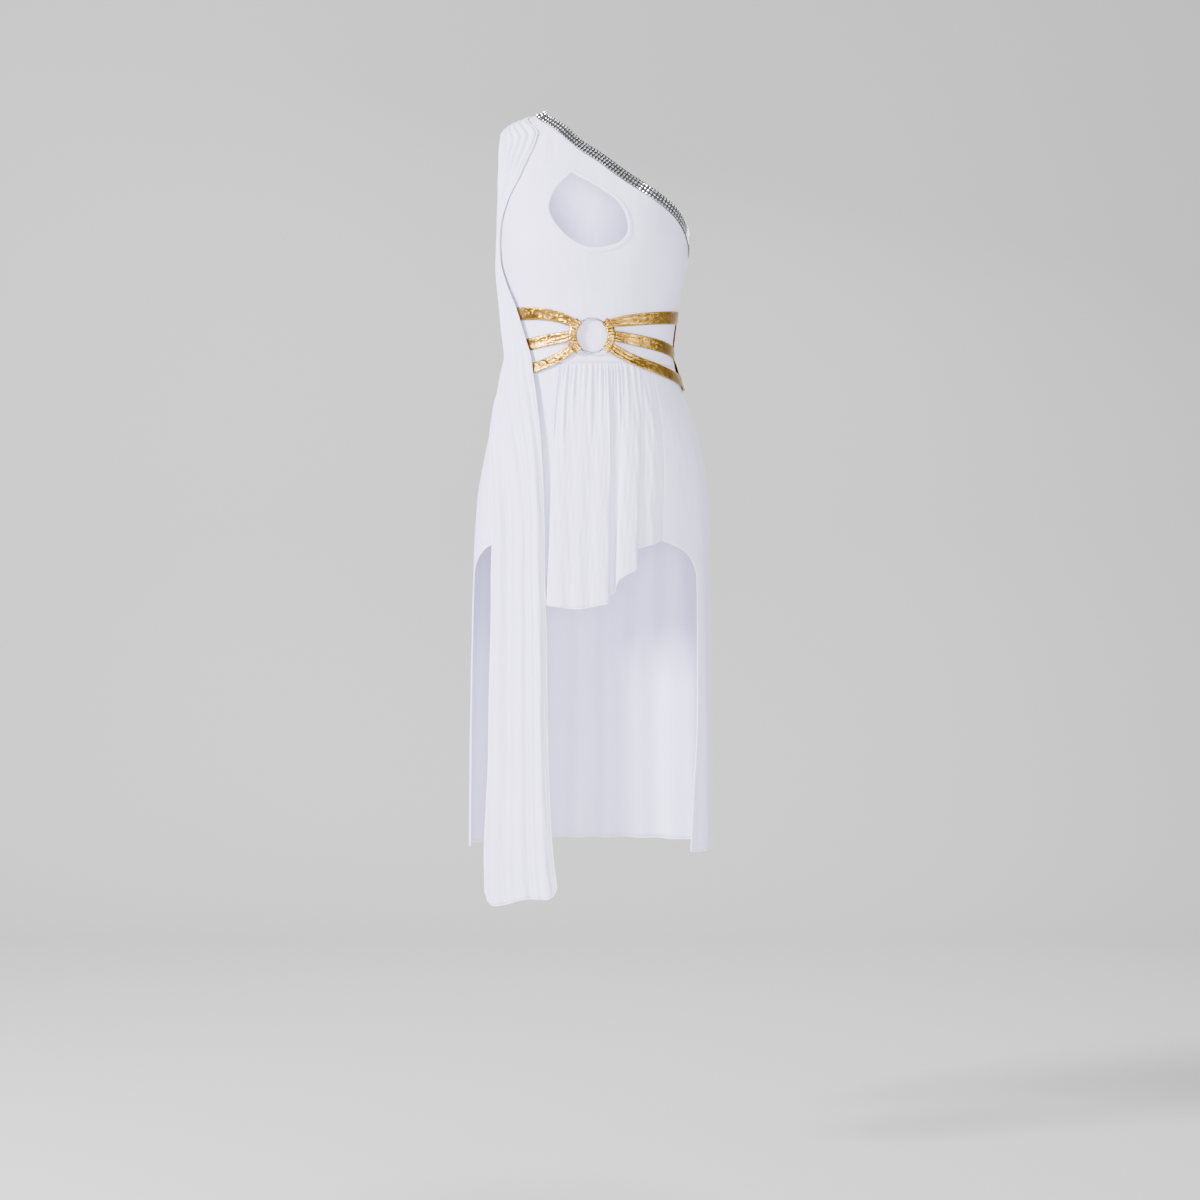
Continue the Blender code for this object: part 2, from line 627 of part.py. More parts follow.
def strap_points(direction, middle_angle, middle_height, end_height, side, steps):
    """A ribbon from the ring to the side. side is 1 on the bare side and -1 on the shoulder side."""
    reach = (RING_DIAMETER - RING_WIRE) / 2.0 + TAB_BODY + TAB_TAIL + STRAP_END_GAP
    at = np.linspace(0.0, 1.0, steps + 1)
    bend = 4.0 * at * (1.0 - at)
    middle = middle_angle if side > 0 else 3.0 * SIDE_SHOULDER - middle_angle
    end = STRAP_END_ANGLE if side > 0 else 3.0 * SIDE_SHOULDER - STRAP_END_ANGLE
    rise = STRAP_RISE * (1.0 - ease(at / 0.30))
    edges = []
    for way in (0.5, 0.0, -0.5):
        turn = np.radians(direction) + way * STRAP_RING_WIDTH / reach
        start_height = RING_CENTRE[2] + reach * np.sin(turn)
        start = ring_side_angle(RING_CENTRE[0] + side * reach * np.cos(turn), start_height)
        last_height = end_height + way * STRAP_WIDTH
        halfway = middle_height + way * STRAP_WIDTH
        height = start_height + (last_height - start_height) * at + bend * (halfway - (start_height + last_height) / 2)
        angle = start + (end - start) * at + bend * (middle - (start + end) / 2)
        edges.append(on_figure(angle, height, belt_out(height) + rise))
    points = np.stack(edges)
    return points if side > 0 else points[:, ::-1]


def add_straps():
    for name, side, direction, middle_angle, middle_height, end_height in STRAPS:
        points = strap_points(direction, middle_angle, middle_height, end_height, side, STRAP_STEPS)
        add_wall(f"belt_strap_{name}", points, "gold_foil", FOIL)


def add_belt_back():
    angle = np.linspace(BAND_START, mirrored(BAND_START), BAND_STEPS + 1)[None, :]
    height = np.linspace(BACK_BAND[0], BACK_BAND[1], 6)[:, None]
    add_wall("belt_back", on_figure(angle, height, belt_out(height)), "gold_foil", FOIL)


def add_ring():
    bpy.ops.mesh.primitive_torus_add(
        major_radius=(RING_DIAMETER - RING_WIRE) / 2.0, minor_radius=RING_WIRE / 2.0,
        major_segments=RING_STEPS, minor_segments=RING_SIDES)
    ring = bpy.context.object
    ring.name = "belt_ring"
    ring.data.name = "belt_ring"
    upright = Matrix.Rotation(np.pi / 2.0, 4, "X")
    ring.matrix_world = Matrix.Translation(Vector(RING_CENTRE) - Vector(HELD_AT)) @ upright
    ring.data.materials.append(finish_material("silver_ring"))
    ring.data.shade_smooth()


def tab_profile(sides):
    """A sleeve round the wire with a flat tail away from the ring's middle, as inner and outer points."""
    turn = np.linspace(0.0, 2.0 * np.pi, sides, endpoint=False)
    inner = TAB_BORE / 2.0
    outer = TAB_BODY + TAB_TAIL * np.clip(np.cos(turn), 0.0, 1.0) ** 6
    return [(inner * np.cos(turn), inner * np.sin(turn)), (outer * np.cos(turn), outer * np.sin(turn))]


def add_tab(name, facing):
    """A gathered sleeve on the ring. facing is 0 for the bare side and 180 for the shoulder side."""
    radius = (RING_DIAMETER - RING_WIRE) / 2.0
    turns = np.radians(facing + np.linspace(-TAB_REACH, TAB_REACH, TAB_STEPS + 1))
    vertices = []
    for turn in turns:
        for away, forward in tab_profile(TAB_SIDES):
            for k in range(TAB_SIDES):
                reach = radius + away[k]
                vertices.append(np.array(RING_CENTRE) + (reach * np.cos(turn), -forward[k], reach * np.sin(turn)))
    faces = []
    section = 2 * TAB_SIDES
    for step in range(TAB_STEPS):
        for k in range(TAB_SIDES):
            beside = (k + 1) % TAB_SIDES
            base = step * section
            far = base + section
            faces.append((base + k, base + beside, far + beside, far + k))
            skin = TAB_SIDES
            faces.append((base + skin + k, far + skin + k, far + skin + beside, base + skin + beside))
    last = TAB_STEPS * section
    for k in range(TAB_SIDES):
        beside = (k + 1) % TAB_SIDES
        faces.append((k, TAB_SIDES + k, TAB_SIDES + beside, beside))
        faces.append((last + k, last + beside, last + TAB_SIDES + beside, last + TAB_SIDES + k))
    add_object(name, np.array(vertices) - HELD_AT, faces, "gold_foil")


def clear_scene():
    for item in list(bpy.data.objects):
        bpy.data.objects.remove(item, do_unlink=True)


def main():
    clear_scene()
    add_bodice_front()
    add_bodice_back()
    add_neck_trim()
    add_wall("skirt_front", skirt_front_points(FRONT_ROWS, STEPS_PER_LINE), "white_jersey")
    add_wall("skirt_back", skirt_back_points(BACK_HEIGHTS, BACK_COLUMNS), "white_jersey")
    add_wall("shoulder_drape", drape_points(DRAPE_SHOULDER_STEPS, DRAPE_STEPS, DRAPE_COLUMNS), "white_jersey")
    add_ring()
    add_tab("belt_tab_right", 0.0)
    add_tab("belt_tab_left", 180.0)
    add_straps()
    add_belt_back()


main()
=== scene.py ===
import bpy
import numpy as np
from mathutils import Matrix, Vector


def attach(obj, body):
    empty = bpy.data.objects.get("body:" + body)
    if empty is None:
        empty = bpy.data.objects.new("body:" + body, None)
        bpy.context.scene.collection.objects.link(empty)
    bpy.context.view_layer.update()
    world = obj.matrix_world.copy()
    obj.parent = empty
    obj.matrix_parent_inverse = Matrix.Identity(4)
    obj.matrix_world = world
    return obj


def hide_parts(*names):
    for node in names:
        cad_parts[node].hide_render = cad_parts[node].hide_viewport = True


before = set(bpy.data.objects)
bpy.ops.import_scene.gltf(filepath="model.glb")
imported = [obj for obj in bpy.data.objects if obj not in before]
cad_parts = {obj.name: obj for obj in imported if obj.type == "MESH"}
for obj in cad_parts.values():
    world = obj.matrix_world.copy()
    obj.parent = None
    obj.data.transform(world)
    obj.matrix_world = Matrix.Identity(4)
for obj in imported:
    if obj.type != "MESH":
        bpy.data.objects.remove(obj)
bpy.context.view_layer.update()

# Camera, from the photograph's own framing
PHOTO_PIXELS = 1200
METRES_PER_PIXEL = 0.00141
CAMERA_DISTANCE = 3.4
SENSOR = 36.0
HELD_AT = np.array((-0.107, 0.0, -0.0095))
EYE_HEIGHT = -0.68244
FLOOR_HEIGHT = -1.46

# Cloth
SHELL = 0.0008
FOIL_SHELL = 0.0008
TRIM_SHELL = 0.0005
SHELL_OUT = 0.0003
HEM_ROLL = 0.0008
TRIM_OUT = 0.0016
BINDING_OUT = 0.0014
BELT_OUT = 0.0026
SEAM_ANGLE = 0.05
SEAM_HEIGHT = 0.0001
SIDE_SHOULDER = 180.0
SIDE_BARE = 360.0
WAIST = -0.356
HIP = -0.470
BACK_HEM = -1.029
TRIM_WIDTH = 0.0155
ARCH_TOP = -0.600
FRONT_TURN = 540.0
BACK_TURN = 900.0
METRES_PER_DEGREE = 0.0021
MOST_DRAG = 0.0014

# Belt
RING_CENTRE = np.array((-0.0109, -0.0898, -0.3196))
RING_DIAMETER = 0.050
RING_WIRE = 0.0026
TAB_BORE = 0.0034
TAB_BODY = 0.0030
TAB_TAIL = 0.0060
TAB_REACH = 50.0
STRAP_WIDTH = 0.017
STRAP_RING_WIDTH = 0.0135
STRAP_RISE = 0.0032
STRAP_END_GAP = 0.0004
STRAP_END_ANGLE = 357.0
BAND_START = 357.2
BACK_BAND = (-0.276, -0.389)

# Sections of the figure from the hem up.
# height, middle, half_width, front_depth, back_depth, squareness
FIGURE = (
    (-1.035, -0.013, 0.1688, 0.118, 0.13, 2.4),
    (-0.82, -0.0124, 0.1675, 0.115, 0.122, 2.4),
    (-0.7, -0.0122, 0.1655, 0.112, 0.119, 2.35),
    (-0.6, -0.011, 0.1635, 0.108, 0.118, 2.3),
    (-0.54, -0.0104, 0.16, 0.106, 0.118, 2.3),
    (-0.499, -0.0096, 0.1543, 0.104, 0.115, 2.3),
    (-0.458, -0.0095, 0.146, 0.101, 0.109, 2.3),
    (-0.426, -0.0098, 0.1372, 0.098, 0.101, 2.25),
    (-0.388, -0.01, 0.124, 0.092, 0.09, 2.2),
    (-0.332, -0.0085, 0.1093, 0.083, 0.073, 2.2),
    (-0.275, -0.008, 0.116, 0.09, 0.077, 2.3),
    (-0.238, -0.0085, 0.1245, 0.1, 0.084, 2.4),
    (-0.207, -0.008, 0.1295, 0.109, 0.09, 2.5),
    (-0.18, -0.0075, 0.13, 0.112, 0.092, 2.6),
    (-0.158, -0.0065, 0.13, 0.109, 0.093, 2.6),
    (-0.125, -0.0035, 0.1315, 0.099, 0.09, 2.5),
    (-0.09, -0.0015, 0.135, 0.084, 0.083, 2.35),
    (-0.05, 0, 0.1375, 0.064, 0.071, 2.2),
    (-0.032, 0.0005, 0.1365, 0.056, 0.064, 2.1),
    (-0.022, 0, 0.13, 0.051, 0.058, 2.05),
    (-0.011, 0, 0.11, 0.046, 0.05, 2),
    (0, 0, 0.082, 0.04, 0.04, 2),
    (0.006, 0, 0.064, 0.034, 0.034, 2),
)

# The neck edge, once round: over the front, under the bare arm and up the back.
# angle, height
NECKLINE = (
    (180, 0.0036),
    (184, 0.0033),
    (199, -0.0034),
    (219, -0.0182),
    (248, -0.0465),
    (276, -0.0699),
    (302, -0.1036),
    (324, -0.136),
    (348, -0.17),
    (366, -0.183),
    (390, -0.164),
    (430, -0.106),
    (475, -0.052),
    (505, -0.024),
    (522, -0.007),
    (536, 0.0033),
    (540, 0.0036),
)

# Half of the armhole edge, from its lowest point up. reach is the angle from the side seam.
# reach, height
ARMHOLE = (
    (0, -0.166),
    (7, -0.16),
    (14, -0.14),
    (19, -0.105),
    (18, -0.07),
    (9, -0.047),
    (0, -0.031),
)

# The keyhole edge and its bound band, from a centre on the front.
KEYHOLE_CENTRE = (265.3, -0.1527)
# direction, radius, band_width
KEYHOLE = (
    (0, 0.0537, 0.0055),
    (20, 0.0461, 0.0045),
    (37, 0.0405, 0.004),
    (57, 0.0372, 0.004),
    (80, 0.039, 0.004),
    (107, 0.0497, 0.0045),
    (119, 0.061, 0.006),
    (124.5, 0.07, 0.0085),
    (131, 0.0692, 0.0085),
    (150, 0.0674, 0.0085),
    (165, 0.0634, 0.0088),
    (184, 0.0543, 0.0088),
    (200, 0.0482, 0.0088),
    (218, 0.0446, 0.0086),
    (240, 0.044, 0.0085),
    (262, 0.0465, 0.008),
    (293, 0.0525, 0.007),
    (312, 0.0598, 0.0062),
    (322, 0.0636, 0.0059),
    (331, 0.0642, 0.0058),
    (342, 0.0609, 0.0056),
    (360, 0.0537, 0.0055),
)

# Grid lines of the front skirt panel from its shoulder-side seam to its bare-side seam.
# proud is how far the cloth stands out at the hem, where folds meet in steep steps.
# waist_angle, hem_angle, proud, hem_height
SKIRT_LINES = (
    (222, 224.5, 0, -0.5996),
    (228, 229, 0.001, -0.612),
    (234, 235, 0.0015, -0.632),
    (237, 239, 0.001, -0.648),
    (239.5, 241.8, 0.0014, -0.66),
    (241, 241.3, 0.0062, -0.68),
    (243, 242.3, 0.0118, -0.69),
    (248, 248.6, 0.014, -0.692),
    (254, 255, 0.0118, -0.694),
    (262, 261, 0.0145, -0.695),
    (270, 268, 0.012, -0.693),
    (277, 275, 0.0142, -0.69),
    (281.5, 281.2, 0.0132, -0.687),
    (284.5, 282.2, 0.0088, -0.684),
    (286.5, 279.8, 0.0042, -0.68),
    (289, 282.3, 0.0008, -0.677),
    (291.5, 287.2, 0.0016, -0.669),
    (294, 287, 0.0052, -0.664),
    (296.5, 288.4, 0.0096, -0.656),
    (300, 293.5, 0.0112, -0.648),
    (303.5, 299.2, 0.01, -0.641),
    (306, 300.4, 0.0066, -0.635),
    (308, 298.2, 0.003, -0.622),
    (310, 300.6, 0.0008, -0.613),
    (312.5, 304.4, 0.0022, -0.61),
    (315.5, 308.6, 0.0036, -0.607),
    (318.5, 312.2, 0.0018, -0.604),
    (322, 315.5, 0, -0.5996),
)
SEAM_BLEND = 3.0

# Gathers below the front waist seam, by grid line. length is the share of the panel that each runs down.
# line, half_width, proud, length
GATHERS = (
    (3.6, 0.45, 0.0022, 0.2),
    (4.4, 0.3, 0.003, 0.16),
    (5, 0.34, 0.004, 0.55),
    (5.7, 0.28, 0.003, 0.22),
    (6.3, 0.3, 0.0034, 0.13),
    (6.9, 0.34, 0.0042, 0.48),
    (7.5, 0.26, 0.0028, 0.18),
    (8, 0.28, 0.0038, 0.3),
    (8.6, 0.26, 0.0028, 0.15),
    (9.1, 0.3, 0.0036, 0.24),
    (9.8, 0.32, 0.004, 0.42),
    (10.4, 0.26, 0.0028, 0.16),
    (11, 0.3, 0.0038, 0.3),
    (11.7, 0.26, 0.003, 0.2),
    (12.4, 0.34, 0.0044, 0.6),
    (13.1, 0.28, 0.003, 0.18),
    (13.9, 0.36, 0.0036, 0.34),
    (14.9, 0.4, 0.0032, 0.24),
    (16, 0.45, 0.0034, 0.42),
    (17.2, 0.5, 0.0026, 0.26),
    (18.6, 0.6, 0.002, 0.34),
    (20.4, 0.7, 0.0014, 0.24),
    (22.6, 0.8, 0.001, 0.3),
)

# The bare-side edge of the back skirt panel: seam, arch and free tail edge.
# height, angle
BACK_EDGE = (
    (-0.3562, 322),
    (-0.472, 318.9),
    (-0.598, 315.6),
    (-0.6, 315.5),
    (-0.6036, 319.5),
    (-0.6114, 326.7),
    (-0.6214, 332),
    (-0.633, 335),
    (-0.65, 337.2),
    (-0.7, 337),
    (-0.78, 336),
    (-0.862, 335),
    (-0.94, 332.5),
    (-1.03, 330),
)

# The same panel's shoulder-side edge, which runs further back and leaves more of the tail's inside in view.
# height, angle
SHOULDER_EDGE = (
    (-0.3562, 578),
    (-0.472, 581.1),
    (-0.598, 584.4),
    (-0.6, 584.5),
    (-0.6018, 574),
    (-0.606, 565),
    (-0.6157, 558),
    (-0.6307, 550.5),
    (-0.642, 546.5),
    (-0.66, 544),
    (-0.7, 543),
    (-0.78, 542.6),
    (-0.862, 542.4),
    (-0.94, 542),
    (-1.03, 541.5),
)
EDGE_REACH = 4.0

# Soft flutes of the back skirt panel.
# angle, half_width, proud_at_hip, proud_at_hem
BACK_FLUTES = (
    (341, 7, 0.0005, 0.0038),
    (357, 8.5, 0.0008, 0.0022),
    (375, 8.5, 0.002, 0.007),
    (393, 9, 0.0026, 0.0105),
    (411, 8.5, 0.003, 0.0085),
    (430, 9.5, 0.0034, 0.012),
    (449, 9, 0.003, 0.0095),
    (468, 9.5, 0.0034, 0.0115),
    (487, 9, 0.0028, 0.009),
    (505, 8.5, 0.0024, 0.01),
    (523, 8.5, 0.0018, 0.0065),
    (538, 6.5, 0.0006, 0.0022),
)

# Gathers below the back waist seam.
# angle, half_width, proud, foot_height
BACK_GATHERS = (
    (383, 2.6, 0.001, -0.43),
    (391, 2.2, 0.0014, -0.47),
    (398, 2.4, 0.0011, -0.42),
    (406, 2.4, 0.0016, -0.5),
    (413, 2, 0.0012, -0.44),
    (419, 2.2, 0.0017, -0.48),
    (426, 2, 0.0013, -0.43),
    (432, 2.2, 0.0018, -0.52),
    (439, 2, 0.0013, -0.44),
    (445, 2.2, 0.0018, -0.49),
    (452, 2.2, 0.0014, -0.43),
    (458, 2, 0.0017, -0.5),
    (465, 2.2, 0.0013, -0.44),
    (472, 2.2, 0.0017, -0.47),
    (479, 2.4, 0.0012, -0.43),
    (487, 2.4, 0.0015, -0.5),
    (495, 2.4, 0.0011, -0.42),
    (503, 2.6, 0.0013, -0.46),
    (512, 2.8, 0.0009, -0.42),
)

# Rows of the shoulder drape from the ridge of the shoulder down. outer is its edge by the arm.
# outer_angle, outer_height, inner_angle, inner_height, outer_out, inner_out, pleat_scale
DRAPE_ROWS = (
    (181.2, -0.028, 181.2, -0.003, 0.0018, 0.0018, 0.35),
    (181.5, -0.038, 198, -0.019, 0.0024, 0.0028, 1),
    (181.5, -0.055, 208, -0.036, 0.0026, 0.0028, 1),
    (181, -0.08, 210, -0.064, 0.0032, 0.0028, 1),
    (180, -0.108, 209, -0.096, 0.0048, 0.003, 0.9),
    (177.5, -0.14, 201, -0.134, 0.007, 0.0036, 0.6),
    (175.5, -0.173, 191, -0.173, 0.0074, 0.0036, 0.35),
    (175.5, -0.204, 194, -0.204, 0.008, 0.004, 0.35),
    (176.5, -0.236, 199.5, -0.236, 0.0095, 0.0055, 0.5),
    (177.5, -0.274, 205, -0.274, 0.013, 0.0068, 0.7),
    (178.5, -0.319, 210, -0.319, 0.0145, 0.007, 0.85),
    (180, -0.356, 218, -0.356, 0.012, 0.0076, 0.9),
    (184, -0.395, 226, -0.395, 0.0062, 0.0082, 0.8),
    (192.5, -0.44, 231.5, -0.44, 0.0052, 0.0085, 0.8),
    (203, -0.495, 235, -0.495, 0.007, 0.0085, 0.9),
    (208, -0.56, 237.6, -0.56, 0.0085, 0.009, 1),
    (209.5, -0.64, 239.2, -0.64, 0.009, 0.01, 1),
    (211, -0.74, 241.6, -0.74, 0.009, 0.01, 1),
    (211, -0.89, 243.2, -0.89, 0.009, 0.01, 1),
    (209.3, -1.025, 246, -1.015, 0.009, 0.01, 1),
    (209.6, -1.0824, 249, -1.0741, 0.009, 0.01, 1),
)

# Pleats of the drape, by the share of its width from the outer edge.
# place_at_shoulder, place_at_waist, place_at_hem,
# half_at_shoulder, half_at_hem, proud_at_shoulder, proud_at_hem
DRAPE_PLEATS = (
    (0.08, 0.1, 0.17, 0.07, 0.17, 0.0018, 0.0062),
    (0.22, 0.24, 0.38, 0.06, 0.05, 0.0036, 0.001),
    (0.36, 0.38, 0.55, 0.062, 0.1, 0.0042, 0.0036),
    (0.5, 0.52, 0.66, 0.06, 0.04, 0.004, 0.0006),
    (0.64, 0.66, 0.73, 0.062, 0.05, 0.0042, 0.0012),
    (0.78, 0.8, 0.88, 0.06, 0.12, 0.0036, 0.006),
    (0.93, 0.94, 0.97, 0.06, 0.035, 0.0026, 0.0008),
)

# The drape's lower edge.
# share, height
DRAPE_HEM = (
    (0, -1.0824),
    (0.06, -1.095),
    (0.18, -1.1),
    (0.34, -1.0965),
    (0.47, -1.0915),
    (0.62, -1.089),
    (0.84, -1.0888),
    (0.94, -1.0845),
    (1, -1.0741),
)
DRAPE_HEM_ROWS = 1.6

# Creases that cross the drape, by row number and share of its width.
# row_from, share_from, row_to, share_to, half_width, proud
DRAPE_CREASES = (
    (8.6, 0.1, 11.2, 0.46, 0.09, 0.0032),
    (9.4, 0.3, 12.2, 0.62, 0.07, -0.0018),
    (6, 0.75, 10, 0.94, 0.09, 0.0014),
    (12, 0.6, 16, 0.52, 0.06, -0.0014),
    (13, 0.2, 17, 0.3, 0.06, -0.0012),
)

# Soft pulls and drags of the bodice.
# angle_from, height_from, angle_to, height_to, half_width, proud
BODICE_CREASES = (
    (222, -0.205, 228, -0.3, 0.007, 0.0012),
    (229, -0.225, 235, -0.315, 0.006, 0.0009),
    (214, -0.215, 221, -0.29, 0.006, -0.0008),
    (237, -0.255, 242, -0.335, 0.006, 0.0008),
    (214, -0.034, 224, -0.09, 0.006, 0.001),
    (220, -0.04, 232, -0.085, 0.005, -0.0007),
    (318, -0.235, 308, -0.3, 0.008, 0.0007),
    (335, -0.215, 322, -0.29, 0.007, 0.0008),
    (350, -0.26, 336, -0.335, 0.007, -0.0007),
    (300, -0.335, 285, -0.352, 0.004, 0.0008),
    (247, -0.335, 258, -0.352, 0.004, 0.0008),
    (375, -0.235, 392, -0.31, 0.008, 0.0011),
    (400, -0.25, 410, -0.33, 0.007, -0.0009),
    (430, -0.24, 436, -0.32, 0.008, 0.001),
    (468, -0.235, 462, -0.32, 0.007, 0.001),
    (500, -0.23, 488, -0.31, 0.008, -0.0009),
    (520, -0.215, 506, -0.3, 0.007, 0.0011),
    (505, -0.06, 470, -0.12, 0.008, 0.0009),
)

# Belt straps from the ring outwards. side is 1 on the bare side and -1 on the shoulder side.
# name, side, ring_direction, middle_angle, middle_height, end_height, length
STRAPS = (
    ("right_top", 1, 35, 315, -0.294, -0.2858, 0.142),
    ("right_middle", 1, 0, 315, -0.3262, -0.338, 0.128),
    ("right_low", 1, -33, 315, -0.3585, -0.3798, 0.148),
    ("left_top", -1, 35, 315, -0.2875, -0.2845, 0.14),
    ("left_middle", -1, 0, 315, -0.325, -0.335, 0.124),
    ("left_low", -1, -33, 315, -0.36, -0.38, 0.146),
)

# Stones of the neck trim
STONE_ROWS = (0.0027, 0.00775, 0.0128)
STONE_PITCH = 0.0050
STONE_RADIUS = 0.0019
CUP_RADIUS = 0.0022

# Mesh detail, as counts of grid steps
FRONT_ROWS = 96
FRONT_LINE_STEPS = 11
BACK_ROWS = 130
BACK_COLUMNS = 250
DRAPE_ROW_STEPS = 13
DRAPE_COLUMNS = 96
DRAPE_STITCH_ROW = 60
OUTLINE_DETAIL = 4
BODICE_ROWS = 34


# Smooth curves and the figure
def smooth(keys, values, at):
    """A smooth curve through the values, with no overshoot between rows."""
    keys = np.asarray(keys, float)
    values = np.asarray(values, float)
    gaps = np.diff(keys)
    slopes = np.diff(values) / gaps
    tangent = np.empty_like(values)
    tangent[0], tangent[-1] = slopes[0], slopes[-1]
    same_way = slopes[:-1] * slopes[1:] > 0.0
    total = np.where(same_way, slopes[:-1] + slopes[1:], 1.0)
    tangent[1:-1] = np.where(same_way, 2.0 * slopes[:-1] * slopes[1:] / total, 0.0)
    index = np.clip(np.searchsorted(keys, at) - 1, 0, len(gaps) - 1)
    step = gaps[index]
    part = np.clip((at - keys[index]) / step, 0.0, 1.0)
    rest = 1.0 - part
    start = (1.0 + 2.0 * part) * rest ** 2 * values[index] + part * rest ** 2 * step * tangent[index]
    end_value = part ** 2 * (3.0 - 2.0 * part) * values[index + 1]
    return start + end_value - part ** 2 * rest * step * tangent[index + 1]


def table_curve(table, key, value, at):
    rows = np.array(table)
    return smooth(rows[:, key], rows[:, value], np.asarray(at, float))


def ease(value):
    part = np.clip(value, 0.0, 1.0)
    return part * part * (3.0 - 2.0 * part)


def figure_point(angle, height):
    """The figure's own surface, a superellipse at each height."""
    middle, half_width, front, back, square = (table_curve(FIGURE, 0, k, height) for k in range(1, 6))
    turn = np.radians(angle)
    depth = np.where(np.sin(turn) < 0.0, front, back)
    across, through = np.abs(np.cos(turn) / half_width), np.abs(np.sin(turn) / depth)
    reach = (across ** square + through ** square) ** (-1.0 / square)
    return np.stack((middle + reach * np.cos(turn), reach * np.sin(turn), height + 0.0 * reach), axis=-1)


def on_figure(angle, height, out):
    """Points moved out from the figure, square to its surface."""
    angle, height, out = np.broadcast_arrays(*(np.asarray(v, float) for v in (angle, height, out)))
    across = figure_point(angle + 0.5, height) - figure_point(angle - 0.5, height)
    upward = figure_point(angle, height + 0.001) - figure_point(angle, height - 0.001)
    normal = np.cross(across, upward)
    normal /= np.linalg.norm(normal, axis=-1, keepdims=True)
    return figure_point(angle, height) + out[..., None] * normal


def slide(angle, height, direction, distance, steps=4):
    """Angles and heights after moving along the figure, as close to a direction as its surface allows."""
    for _ in range(steps):
        across = figure_point(angle + 0.5, height) - figure_point(angle - 0.5, height)
        upward = (figure_point(angle, height + 0.0005) - figure_point(angle, height - 0.0005)) * 1000.0
        pairs = ((across, across), (across, upward), (upward, upward))
        a, b, c = ((p * q).sum(axis=-1) for p, q in pairs)
        d, e = (across * direction).sum(axis=-1), (upward * direction).sum(axis=-1)
        scale = a * c - b * b
        turn, rise = (c * d - b * e) / scale, (a * e - b * d) / scale
        length = np.linalg.norm(across * turn[..., None] + upward * rise[..., None], axis=-1)
        angle = angle + turn / length * distance / steps
        height = height + rise / length * distance / steps
    return angle, height


def creased(table, across, down, across_size, down_size):
    """Soft troughs and ridges along straight lines of a panel's own two directions."""
    total = 0.0
    for across_from, down_from, across_to, down_to, half_width, proud in table:
        run = np.array(((across_to - across_from) * across_size, (down_to - down_from) * down_size))
        u = (across - across_from) * across_size
        v = (down - down_from) * down_size
        length = np.hypot(*run)
        along = (u * run[0] + v * run[1]) / length ** 2
        aside = np.abs(u * run[1] - v * run[0]) / length
        ends = ease((along + 0.15) / 0.45) * ease((1.15 - along) / 0.45)
        total = total + proud * (1.0 - ease(aside / half_width)) * ends
    return total


def unevenness(angle, height):
    """Faint irregular swells, so that no stretch of cloth is quite even."""
    first = np.sin(angle * 0.31 + height * 23.0) * np.sin(height * 41.0 + angle * 0.11)
    second = np.sin(angle * 0.83 - height * 17.0 + 1.3) * np.sin(height * 67.0 - angle * 0.07)
    return 0.5 + 0.3 * first + 0.2 * second


# Materials
def link_nodes(material, *pairs):
    for source, target in pairs:
        material.node_tree.links.new(source, target)


def new_material(name, colour, metallic, roughness):
    material = bpy.data.materials.new(name)
    material.use_nodes = True
    shader = material.node_tree.nodes["Principled BSDF"]
    shader.inputs["Base Color"].default_value = (*colour, 1.0)
    shader.inputs["Metallic"].default_value = metallic
    shader.inputs["Roughness"].default_value = roughness
    return material, shader


def add_node(material, kind, **inputs):
    node = material.node_tree.nodes.new(kind)
    for name, value in inputs.items():
        node.inputs[name.replace("_", " ")].default_value = value
    return node


def colour_between(material, factor, first, second, shader):
    ramp = add_node(material, "ShaderNodeValToRGB")
    ramp.color_ramp.elements[0].position = 0.3
    ramp.color_ramp.elements[1].position = 0.7
    ramp.color_ramp.elements[0].color = (*first, 1.0)
    ramp.color_ramp.elements[1].color = (*second, 1.0)
    colour = shader.inputs["Base Color"]
    link_nodes(material, (factor, ramp.inputs["Fac"]), (ramp.outputs["Color"], colour))


def add_texture(material, kind, coordinates="Object", **inputs):
    place = add_node(material, "ShaderNodeTexCoord")
    texture = add_node(material, f"ShaderNodeTex{kind}", **inputs)
    link_nodes(material, (place.outputs[coordinates], texture.inputs["Vector"]))
    return texture


def jersey_material():
    """Smooth stretch jersey: fine knit columns, a soft sheen and a lavender cast in its white."""
    material, shader = new_material("white_jersey", (0.76, 0.735, 0.96), 0.0, 0.72)
    shader.inputs["Sheen Weight"].default_value = 0.25
    shader.inputs["Sheen Roughness"].default_value = 0.45
    shader.inputs["Specular IOR Level"].default_value = 0.35
    cloud = add_texture(material, "Noise", Scale=9.0, Detail=3.0, Roughness=0.55)
    colour_between(material, cloud.outputs["Fac"], (0.745, 0.718, 0.950), (0.778, 0.755, 0.968), shader)
    knit = add_texture(material, "Wave", "UV", Scale=160.0, Distortion=1.2, Detail=1.0)
    knit.bands_direction = "X"
    course = add_texture(material, "Wave", "UV", Scale=210.0, Distortion=0.8, Detail=1.0)
    course.bands_direction = "Y"
    loops = add_node(material, "ShaderNodeMath")
    loops.operation = "MULTIPLY"
    bump = add_node(material, "ShaderNodeBump", Strength=0.35, Distance=0.00025)
    drape = add_texture(material, "Noise", Scale=38.0, Detail=4.0, Roughness=0.5)
    soft = add_node(material, "ShaderNodeBump", Strength=0.30, Distance=0.0012)
    link_nodes(
        material,
        (knit.outputs["Fac"], loops.inputs[0]),
        (course.outputs["Fac"], loops.inputs[1]),
        (loops.outputs["Value"], bump.inputs["Height"]),
        (drape.outputs["Fac"], soft.inputs["Height"]),
        (soft.outputs["Normal"], bump.inputs["Normal"]),
        (bump.outputs["Normal"], shader.inputs["Normal"]),
    )
    return material


